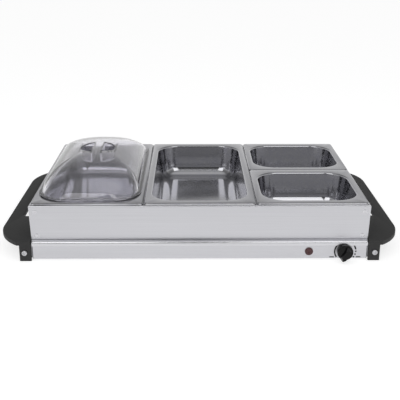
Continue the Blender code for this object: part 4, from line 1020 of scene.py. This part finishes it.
@dataclass
class TopPlate:
    """The folded plate on which the frame stands: a flat top, a rounded shoulder and a straight lip."""

    node: str = "base_top_plate"
    shoulder: float = 0.0040
    side_shoulder: float = 0.0012
    sheet: float = 0.0010
    corner: float = 0.0030
    steps: int = 9
    corner_steps: int = 6

    def build(self) -> Piece:
        """Model the plate in place of its CAD node."""
        low, high, centre, half_x, half_y = plan_of(self.node)
        rows = []
        for angle in quarter(self.steps):
            inset = 1 - math.sin(angle)
            rows.append((half_x - self.side_shoulder * inset, half_y - self.shoulder * inset, self.corner,
                         high.z - self.shoulder * (1 - math.cos(angle))))
        rows.append((half_x, half_y, self.corner, low.z))
        under = [tuple(size - self.sheet for size in row) for row in rows[:-1]]
        rows.append((half_x - self.sheet, half_y - self.sheet, self.corner - self.sheet, low.z))
        rows += under[::-1]
        bench = Bench("folded_top_plate")
        bench.loft(rows, centre, self.corner_steps)
        bench.seal()
        return bench.finish(PLATE_STEEL, "satin_steel", Body.BASE.value, self.node)


@dataclass
class BowHandle:
    """One moulded handle: a bow-shaped plate with a grip gap, standing on two open legs."""

    side: Side
    thickness: float = 0.0080
    sweep: float = 0.0880
    sweep_share: float = 0.792
    gap_width: float = 0.0345
    gap_half: float = 0.0720
    gap_corner: float = 0.0040
    leg_width: float = 0.0183
    leg_depth: float = 0.0200
    leg_wall: float = 0.0040
    edge_round: float = 0.0013
    sweep_steps: int = 22
    corner_steps: int = 6

    def build(self) -> Piece:
        """Model the handle in place of its CAD node.

        Returns:
            The finished handle.
        """
        node = "handle_left" if self.side is Side.NEGATIVE else "handle_right"
        low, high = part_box(node)
        inner = min(abs(low.x), abs(high.x))
        outer = max(abs(low.x), abs(high.x))
        front = (high.y - low.y) / 2
        middle = (high.y + low.y) / 2
        base = high.z - self.thickness
        plan = [(self.side.value * x, middle + y, base) for x, y in self.outline(inner, outer, front)]
        bench = prism(node + "_bow", plan, (0.0, 0.0, self.thickness))
        bench.round_edges(self.edge_round, 4)
        for end in Side:
            bench.boolean(self.leg(end, inner, front, middle, base), "UNION")
        return bench.finish(HANDLE_PLASTIC, "black_phenolic", Body.BASE.value, node)

    def outline(self, inner: float, outer: float, front: float) -> list[tuple[float, float]]:
        """Return the plan of the right handle about its own middle, anticlockwise.

        Args:
            inner: Distance from the middle of the object to the base's side.
            outer: Distance to the outermost edge.
            front: Half the handle's length.

        Returns:
            X and Y of each corner.
        """
        centre_x, centre_y = outer - self.sweep, front - self.sweep * self.sweep_share
        limit = math.asin((front - centre_y) / self.sweep)
        upper = []
        for step in range(self.sweep_steps + 1):
            angle = limit * step / self.sweep_steps
            upper.append((centre_x + self.sweep * math.cos(angle), centre_y + self.sweep * math.sin(angle)))
        upper += [(inner, front), (inner, self.gap_half)]
        bend_x, bend_y = inner + self.gap_width - self.gap_corner, self.gap_half - self.gap_corner
        for angle in quarter(self.corner_steps):
            upper.append((bend_x + self.gap_corner * math.sin(angle),
                          bend_y + self.gap_corner * math.cos(angle)))
        return upper + [(x, -y) for x, y in reversed(upper)]

    def leg(self, end: Side, inner: float, front: float, middle: float, base: float) -> Bench:
        """Model one leg: a front wall and an outer wall, open towards the base.

        Args:
            end: Front or rear end of the handle.
            inner: Distance from the middle of the object to the base's side.
            front: Half the handle's length.
            middle: Y of the handle's middle.
            base: Height of the plate's underside.

        Returns:
            The bench that holds the leg.
        """
        far, wall = inner + self.leg_width, self.leg_wall
        plan = [(inner, 0.0), (far, 0.0), (far, self.leg_depth), (far - wall, self.leg_depth),
                (far - wall, wall), (inner, wall)]
        corners = [(self.side.value * x, middle + end.value * (front - depth), 0.0) for x, depth in plan]
        bench = prism("leg", corners, (0.0, 0.0, base + self.thickness / 2))
        bench.round_edges(self.edge_round / 2, 3)
        return bench


@dataclass
class HandleScrews:
    """The four pan-head screws that hold the handles, each with a cross recess."""

    head_height: float = 0.0026
    recess_span: float = 0.0056
    recess_width: float = 0.0016
    recess_depth: float = 0.0020
    crown_steps: int = 6
    shank_share: float = 0.45
    side_share: float = 0.3
    flat_share: float = 0.35

    def build(self) -> list[Piece]:
        """Model a screw at each corner in place of its CAD node.

        Returns:
            The finished screws.
        """
        pieces = []
        for depth, side in (("front", Side.NEGATIVE), ("rear", Side.POSITIVE)):
            for width in ("left", "right"):
                node = f"handle_screw_{depth}_{width}"
                low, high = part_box(node)
                radius = (high.x - low.x) / 2
                tip = high.y if side is Side.POSITIVE else low.y
                centre = ((low.x + high.x) / 2, tip, (low.z + high.z) / 2)
                bench = turned_piece(node + "_head", self.profile(radius), centre, Axis.Y, side)
                bench.boolean(self.recess(centre, side), "DIFFERENCE")
                pieces.append(bench.finish(ZINC, "zinc_plated_steel", Body.BASE.value, node))
        return pieces

    def profile(self, radius: float) -> list[tuple[float, float]]:
        """Return the domed head and a short shank, measured inwards from the tip."""
        shank = radius * self.shank_share
        rows = [(0.0, -self.head_height * 2), (shank, -self.head_height * 2), (shank, -self.head_height),
                (radius, -self.head_height)]
        crown = self.head_height * (1 - self.side_share)
        for angle in quarter(self.crown_steps):
            reach = self.flat_share + (1 - self.flat_share) * math.cos(angle)
            rows.append((radius * reach, crown * (math.sin(angle) - 1)))
        rows.append((0.0, 0.0))
        return rows

    def recess(self, centre: Point, side: Side) -> Bench:
        """Model the cross that is cut into the head."""
        span, half = self.recess_span / 2, self.recess_width / 2
        corners = [(span, half), (half, half), (half, span), (-half, span), (-half, half), (-span, half)]
        corners += [(-u, -v) for u, v in corners]
        start = centre[1] - side.value * self.recess_depth
        outline = [(centre[0] + u, start, centre[2] + v) for u, v in corners]
        return prism("recess", outline, (0.0, side.value * self.recess_depth * 2, 0.0))


# Controls


@dataclass
class ControlKnob:
    """The thermostat's knob: a domed disc under a grip that ends in a pointer."""

    node: str = "control_knob"
    radius: float = 0.0125
    disc: float = 0.0065
    disc_round: float = 0.0020
    height: float = 0.0175
    pointer: float = 0.0138
    shoulder_share: float = 0.66
    tail_share: float = 0.86
    wing: float = 0.0078
    taper: float = 0.86
    edge_round: float = 0.0007
    off_angle: float = math.radians(30.0)
    round_steps: int = 6
    tail_steps: int = 10
    softest_edge: float = math.radians(38.0)

    def build(self) -> Piece:
        """Model the knob in place of its CAD node, at its off position.

        Returns:
            The finished knob.
        """
        low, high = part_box(self.node)
        shaft_low, shaft_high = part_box("thermostat_shaft")
        centre = Vector(((shaft_low.x + shaft_high.x) / 2, high.y, (shaft_low.z + shaft_high.z) / 2))
        rows = [(0.0, 0.0), (self.radius, 0.0), (self.radius, self.disc - self.disc_round)]
        for angle in quarter(self.round_steps):
            rows.append((self.radius - self.disc_round * (1 - math.cos(angle)),
                         self.disc - self.disc_round * (1 - math.sin(angle))))
        rows.append((0.0, self.disc + self.disc_round / 2))
        bench = turned_piece("pointer_knob", rows, tuple(centre), Axis.Y, Side.NEGATIVE, 64)
        bench.boolean(self.grip(centre), "UNION")
        bench.round_edges(self.edge_round, 3, self.softest_edge)
        return bench.finish(KNOB_PLASTIC, "black_moulding", Body.KNOB.value, self.node)

    def grip(self, centre: Vector) -> Bench:
        """Model the raised grip and its pointer, turned to the off position.

        Args:
            centre: The knob's axis at its back face.

        Returns:
            The bench that holds the grip.
        """
        half, shoulder = self.wing / 2, self.pointer * self.shoulder_share
        tail = self.radius * self.tail_share
        corners = [(half, -shoulder), (0.0, -self.pointer), (-half, -shoulder)]
        corners += [(-half * math.cos(angle), tail - half + half * math.sin(angle))
                    for angle in [math.pi * step / self.tail_steps for step in range(self.tail_steps + 1)]]
        cos, sin = math.cos(self.off_angle), math.sin(self.off_angle)
        start = centre.y - self.disc / 2
        plan = [(centre.x + u * cos + v * sin, start, centre.z - u * sin + v * cos) for u, v in corners]
        return prism("grip", plan, (0.0, self.disc / 2 - self.height, 0.0), (self.taper, 1.0, self.taper),
                     tuple(centre))


@dataclass
class DialScale:
    """The printed scale round the knob: a heavy arc that starts at off, then single dashes."""

    radius: float = 0.0167
    set_right: float = 0.0009
    ink: float = 0.00012
    width: float = 0.0023
    arc: tuple[float, float] = (216.0, 142.0)
    dashes: Sequence[tuple[float, float]] = ((36.0, 10.0), (3.0, -5.0), (-14.0, -22.0), (-31.0, -39.0))
    step: float = 3.0
    end_mark: tuple[float, float] = (0.0073, 0.0016)
    end_mark_reach: float = 0.0210
    end_mark_drop: float = 0.0098
    centre: Vector = field(init=False)

    def build(self) -> list[Piece]:
        """Print the arc, the dashes and one bar at each end of the scale.

        Returns:
            The finished marks.
        """
        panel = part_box("base_housing")[0].y
        low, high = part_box("thermostat_shaft")
        self.centre = Vector(((low.x + high.x) / 2 + self.set_right, panel, (low.z + high.z) / 2))
        pieces = [self.stroke("scale_arc", self.arc)]
        for index, ends in enumerate(self.dashes):
            pieces.append(self.stroke(f"scale_dash_{index + 1}", ends))
        half, tall = self.end_mark[0] / 2, self.end_mark[1] / 2
        z = -self.end_mark_drop
        for name, side in (("scale_low_bar", Side.NEGATIVE), ("scale_high_bar", Side.POSITIVE)):
            x = side.value * self.end_mark_reach
            corners = [(x - half, z - tall), (x + half, z - tall), (x + half, z + tall), (x - half, z + tall)]
            pieces.append(self.printed(name, corners))
        return pieces

    def stroke(self, name: str, ends: tuple[float, float]) -> Piece:
        """Print one stretch of the ring round the knob.

        Args:
            name: Name of the piece.
            ends: Angles of its ends in degrees, anticlockwise from the right.

        Returns:
            The finished mark.
        """
        steps = max(2, round(abs(ends[0] - ends[1]) / self.step))
        angles = [math.radians(ends[0] + (ends[1] - ends[0]) * step / steps) for step in range(steps + 1)]
        outer, inner = self.radius + self.width / 2, self.radius - self.width / 2
        corners = [(outer * math.cos(angle), outer * math.sin(angle)) for angle in angles]
        corners += [(inner * math.cos(angle), inner * math.sin(angle)) for angle in reversed(angles)]
        return self.printed(name, corners)

    def printed(self, name: str, corners: Sequence[tuple[float, float]]) -> Piece:
        """Lay one ink mark on the panel.

        Args:
            name: Name of the piece.
            corners: X and Z of its outline about the knob's axis.

        Returns:
            The finished mark.
        """
        outline = [(self.centre.x + u, self.centre.y, self.centre.z + v) for u, v in corners]
        bench = prism(name, outline, (0.0, -self.ink, 0.0))
        return bench.finish(PRINT_INK, "black_moulding", Body.BASE.value)


@dataclass
class IndicatorLens:
    """The red lens of the indicator lamp: a flat flange with a stepped crown."""

    node: str = "indicator_lens"
    radius: float = 0.0065
    flange: float = 0.0012
    crown: float = 0.0012
    stem: float = 0.0048
    bore: float = 0.0032
    stem_length: float = 0.0130
    # Shares of the radius and of the crown, from the middle out
    face: Sequence[tuple[float, float]] = ((0.0, 0.55), (0.22, 0.55), (0.26, 1.0), (0.55, 0.9), (0.60, 0.5),
                                           (0.92, 0.2))
    edge_share: float = 0.3

    def build(self) -> Piece:
        """Model the lens in place of its CAD node."""
        low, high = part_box(self.node)
        centre = ((low.x + high.x) / 2, high.y - self.stem_length, (low.z + high.z) / 2)
        rim = self.flange + (high.y - low.y - self.stem_length - self.flange - self.crown)
        rows = [(self.radius * out, rim + self.crown * rise) for out, rise in self.face]
        rows += [(self.radius, rim - self.flange * self.edge_share), (self.radius, rim - self.flange),
                 (self.stem, rim - self.flange), (self.stem, -self.stem_length),
                 (self.bore, -self.stem_length), (self.bore, 0.0), (0.0, 0.0)]
        bench = turned_piece("ringed_lens", rows, centre, Axis.Y, Side.NEGATIVE)
        return bench.finish(RED_LENS, "red_lens", Body.BASE.value, self.node)


@dataclass
class CordGland:
    """The empty gland in the rear panel: a ribbed nose outside and a collar inside."""

    node: str = "cord_gland"
    flange: float = 0.0030
    nose: float = 0.0100
    outer: float = 0.0085
    stem: float = 0.0062
    bore: float = 0.0036
    nose_radius: float = 0.0055
    ribs: int = 4
    # Places along one rib's pitch: its start, its groove's two edges and its end; then the groove's radius
    rib_start: float = 0.6
    groove: tuple[float, float] = (0.1, 0.5)
    groove_share: float = 0.88

    def build(self) -> Piece:
        """Model the gland in place of its CAD node.

        Returns:
            The finished gland.
        """
        low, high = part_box(self.node)
        seat = high.y - self.nose - self.flange
        centre = ((low.x + high.x) / 2, seat, (low.z + high.z) / 2)
        back = low.y - seat
        rows = [(self.bore, back), (self.stem, back), (self.stem, 0.0), (self.outer, 0.0),
                (self.outer, self.flange * 0.8), (self.outer - self.flange * 0.2, self.flange),
                (self.stem, self.flange)]
        pitch = self.nose / (self.ribs + 1)
        for rib in range(self.ribs):
            start = self.flange + pitch * (rib + self.rib_start)
            radius = self.stem - (self.stem - self.nose_radius) * (rib + 1) / (self.ribs + 1)
            rows.append((radius, start))
            rows += [(radius * self.groove_share, start + pitch * share) for share in self.groove]
            rows.append((radius, start + pitch * self.rib_start))
        rows += [(self.nose_radius, self.flange + self.nose), (self.bore, self.flange + self.nose)]
        bench = turned_piece("ribbed_gland", rows + rows[:1], centre, Axis.Y, Side.POSITIVE)
        return bench.finish(HANDLE_PLASTIC, "black_moulding", Body.BASE.value, self.node)


# Studio


@dataclass
class Studio:
    """White floor, soft lamps and a pale surround, as in a product studio."""

    floor_half: float = 6.0
    ambient: float = 0.58
    front_radiance: float = 1.7
    front_distance: float = 2.0
    front_turn: float = math.radians(25.0)
    front_rise: float = math.radians(37.0)
    front_size: tuple[float, float] = (1.05, 1.35)
    aim_height: float = 0.06
    floor_drop: float = 0.0002
    floor_lit: float = 0.80
    floor_shown: float = 0.46
    floor_glow: float = 0.70
    # Share of the way from straight down to straight up, and how pale the surround is there in a mirror
    sky: Sequence[tuple[float, float]] = ((0.0, 1.0), (0.53, 1.0), (0.60, 0.78), (0.67, 0.64), (0.80, 0.30),
                                          (0.90, 0.24), (0.95, 0.60), (1.0, 0.70))
    # Where the dark gap behind the camera ends and the pale surround starts, and the gap's level
    gap: tuple[float, float] = (-0.90, -0.70)
    gap_level: float = 0.10

    def build(self) -> None:
        """Set up the colour view, the surround, the floor and the lamps."""
        bpy.context.scene.view_settings.view_transform = "Standard"
        self.surround()
        self.floor()
        flat = self.front_distance * math.cos(self.front_rise)
        for side in Side:
            place = (side.value * flat * math.sin(self.front_turn), -flat * math.cos(self.front_turn),
                     self.front_distance * math.sin(self.front_rise))
            self.softbox(f"front_softbox_{side.name.lower()}", place, self.front_size, self.front_radiance)

    def ray_shares(self, tree: Tree) -> tuple[Socket, Socket]:
        """Return two sockets: 1 for glossy and transmission rays, and 1 for camera rays."""
        path = add_node(tree, "ShaderNodeLightPath")
        mirror = add_node(tree, "ShaderNodeMath", {
            0: path.outputs["Is Glossy Ray"], 1: path.outputs["Is Transmission Ray"]}, operation="MAXIMUM")
        return mirror.outputs[0], path.outputs["Is Camera Ray"]

    def surround(self) -> None:
        """Light the scene from a pale surround that darkens overhead, where the studio has no screen."""
        world = bpy.data.worlds.new("studio")
        bpy.context.scene.world = world
        world.use_nodes = True
        tree = world.node_tree
        tree.nodes.clear()
        place = add_node(tree, "ShaderNodeTexCoord")
        parts = add_node(tree, "ShaderNodeSeparateXYZ", {"Vector": place.outputs["Generated"]})
        height = add_node(tree, "ShaderNodeMapRange", {"Value": parts.outputs["Z"], "From Min": -1.0})
        sky = add_node(tree, "ShaderNodeValToRGB", {"Fac": height.outputs["Result"]})
        set_stops(sky, [(place, grey(level)) for place, level in self.sky])
        front = add_node(tree, "ShaderNodeMapRange", {
            "Value": parts.outputs["Y"], "From Min": self.gap[0], "From Max": self.gap[1]})
        shade = add_node(tree, "ShaderNodeValToRGB", {"Fac": front.outputs["Result"]})
        set_stops(shade, [(0.0, grey(self.gap_level)), (1.0, grey(1.0))])
        seen = add_node(tree, "ShaderNodeMix", {"Factor": 1.0}, data_type="RGBA", blend_type="MULTIPLY")
        tree.links.new(sky.outputs["Color"], seen.inputs["A"])
        tree.links.new(shade.outputs["Color"], seen.inputs["B"])
        mirror, camera = self.ray_shares(tree)
        plain = add_node(tree, "ShaderNodeBackground", {"Color": grey(1.0), "Strength": self.ambient})
        studio = add_node(tree, "ShaderNodeBackground", {"Color": seen.outputs["Result"], "Strength": 1.0})
        white = add_node(tree, "ShaderNodeBackground", {"Color": grey(1.0), "Strength": 1.0})
        lit = add_node(tree, "ShaderNodeMixShader", {0: mirror, 1: plain.outputs[0], 2: studio.outputs[0]})
        shown = add_node(tree, "ShaderNodeMixShader", {0: camera, 1: lit.outputs[0], 2: white.outputs[0]})
        add_node(tree, "ShaderNodeOutputWorld", {"Surface": shown.outputs[0]})

    def floor(self) -> None:
        """Lay a white floor that keeps the object's shadow."""
        bench = Bench("studio_floor")
        bench.rectangle(self.floor_half, self.floor_half, Vector((0.0, 0.0, -self.floor_drop)))
        bench.close()
        material = bpy.data.materials.new("white_floor")
        material.use_nodes = True
        tree = material.node_tree
        tree.nodes.clear()
        lit = add_node(tree, "ShaderNodeBsdfDiffuse", {"Color": grey(self.floor_lit)})
        soft = add_node(tree, "ShaderNodeBsdfDiffuse", {"Color": grey(self.floor_shown)})
        glow = add_node(tree, "ShaderNodeEmission", {"Color": grey(1.0), "Strength": self.floor_glow})
        shown = add_node(tree, "ShaderNodeAddShader", {0: soft.outputs[0], 1: glow.outputs[0]})
        mirror, camera = self.ray_shares(tree)
        seen = add_node(tree, "ShaderNodeMath", {0: camera, 1: mirror}, operation="MAXIMUM")
        mixed = add_node(tree, "ShaderNodeMixShader", {0: seen.outputs[0], 1: lit.outputs[0],
                                                       2: shown.outputs[0]})
        add_node(tree, "ShaderNodeOutputMaterial", {"Surface": mixed.outputs[0]})
        bench.piece.data.materials.append(material)

    def softbox(self, name: str, place: Point, size: tuple[float, float], radiance: float) -> None:
        """Hang one softbox that faces the object.

        Args:
            name: Name of the lamp.
            place: Where it hangs.
            size: Its width and height.
            radiance: How bright its face is, where 1 is white.
        """
        bpy.ops.object.light_add(type="AREA", location=place)
        lamp = bpy.context.object
        lamp.name = name
        lamp.data.shape = "RECTANGLE"
        lamp.data.size, lamp.data.size_y = size
        lamp.data.energy = radiance * math.pi * size[0] * size[1]
        aim = Vector((0.0, 0.0, self.aim_height)) - Vector(place)
        lamp.rotation_euler = aim.to_track_quat("-Z", "Y").to_euler()


@dataclass
class Viewpoint:
    """The photograph's camera, as fitted to the object's straight edges."""

    place: Point = (-0.01327, -1.26936, 0.49050)
    yaw: float = math.radians(0.684)
    pitch: float = math.radians(19.624)
    roll: float = math.radians(-0.128)
    focal_pixels: float = 750.73
    image_side: int = 400
    sensor: float = 36.0
    clip: tuple[float, float] = (0.05, 50.0)

    def build(self) -> None:
        """Make the camera and use it."""
        bpy.ops.object.camera_add(location=self.place)
        camera = bpy.context.object
        camera.name = "studio_camera"
        camera.rotation_mode = "XYZ"
        camera.rotation_euler = (math.pi / 2 - self.pitch, 0.0, -self.yaw)
        camera.rotation_euler.rotate_axis("Z", -self.roll)
        camera.data.sensor_width = self.sensor
        camera.data.lens = self.focal_pixels / self.image_side * self.sensor
        camera.data.clip_start, camera.data.clip_end = self.clip
        bpy.context.scene.camera = camera


@dataclass
class BuffetServer:
    """The whole object: its carried CAD nodes and the pieces modelled here."""

    frame: dict

    def build(self) -> None:
        """Build every sub-assembly in order."""
        self.dress_carried_nodes()
        TopPlate().build()
        for side in Side:
            BowHandle(side).build()
        HandleScrews().build()
        CarrierFrame().build()
        for node in ("pan_left", "pan_middle", "pan_rear_right", "pan_front_right"):
            DrawnPan(node).build()
        ClearLid().build()
        ControlKnob().build()
        DialScale().build()
        IndicatorLens().build()
        CordGland().build()

    def dress_carried_nodes(self) -> None:
        """Give each CAD node that stays its finish."""
        for name, node in self.frame["nodes"].items():
            for (finish, slot), starts in CARRIED.items():
                if not name.startswith(starts):
                    continue
                node.data.materials.clear()
                node.data.materials.append(finish.build())
                LOG.info("%s stays, in %s", name, finish.name)


def main() -> None:
    """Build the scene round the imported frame."""
    logging.basicConfig(level=logging.INFO, format="%(name)s %(message)s")
    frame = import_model()
    Viewpoint().build()
    Studio().build()
    BuffetServer(frame).build()


if __name__ == "__main__":
    main()
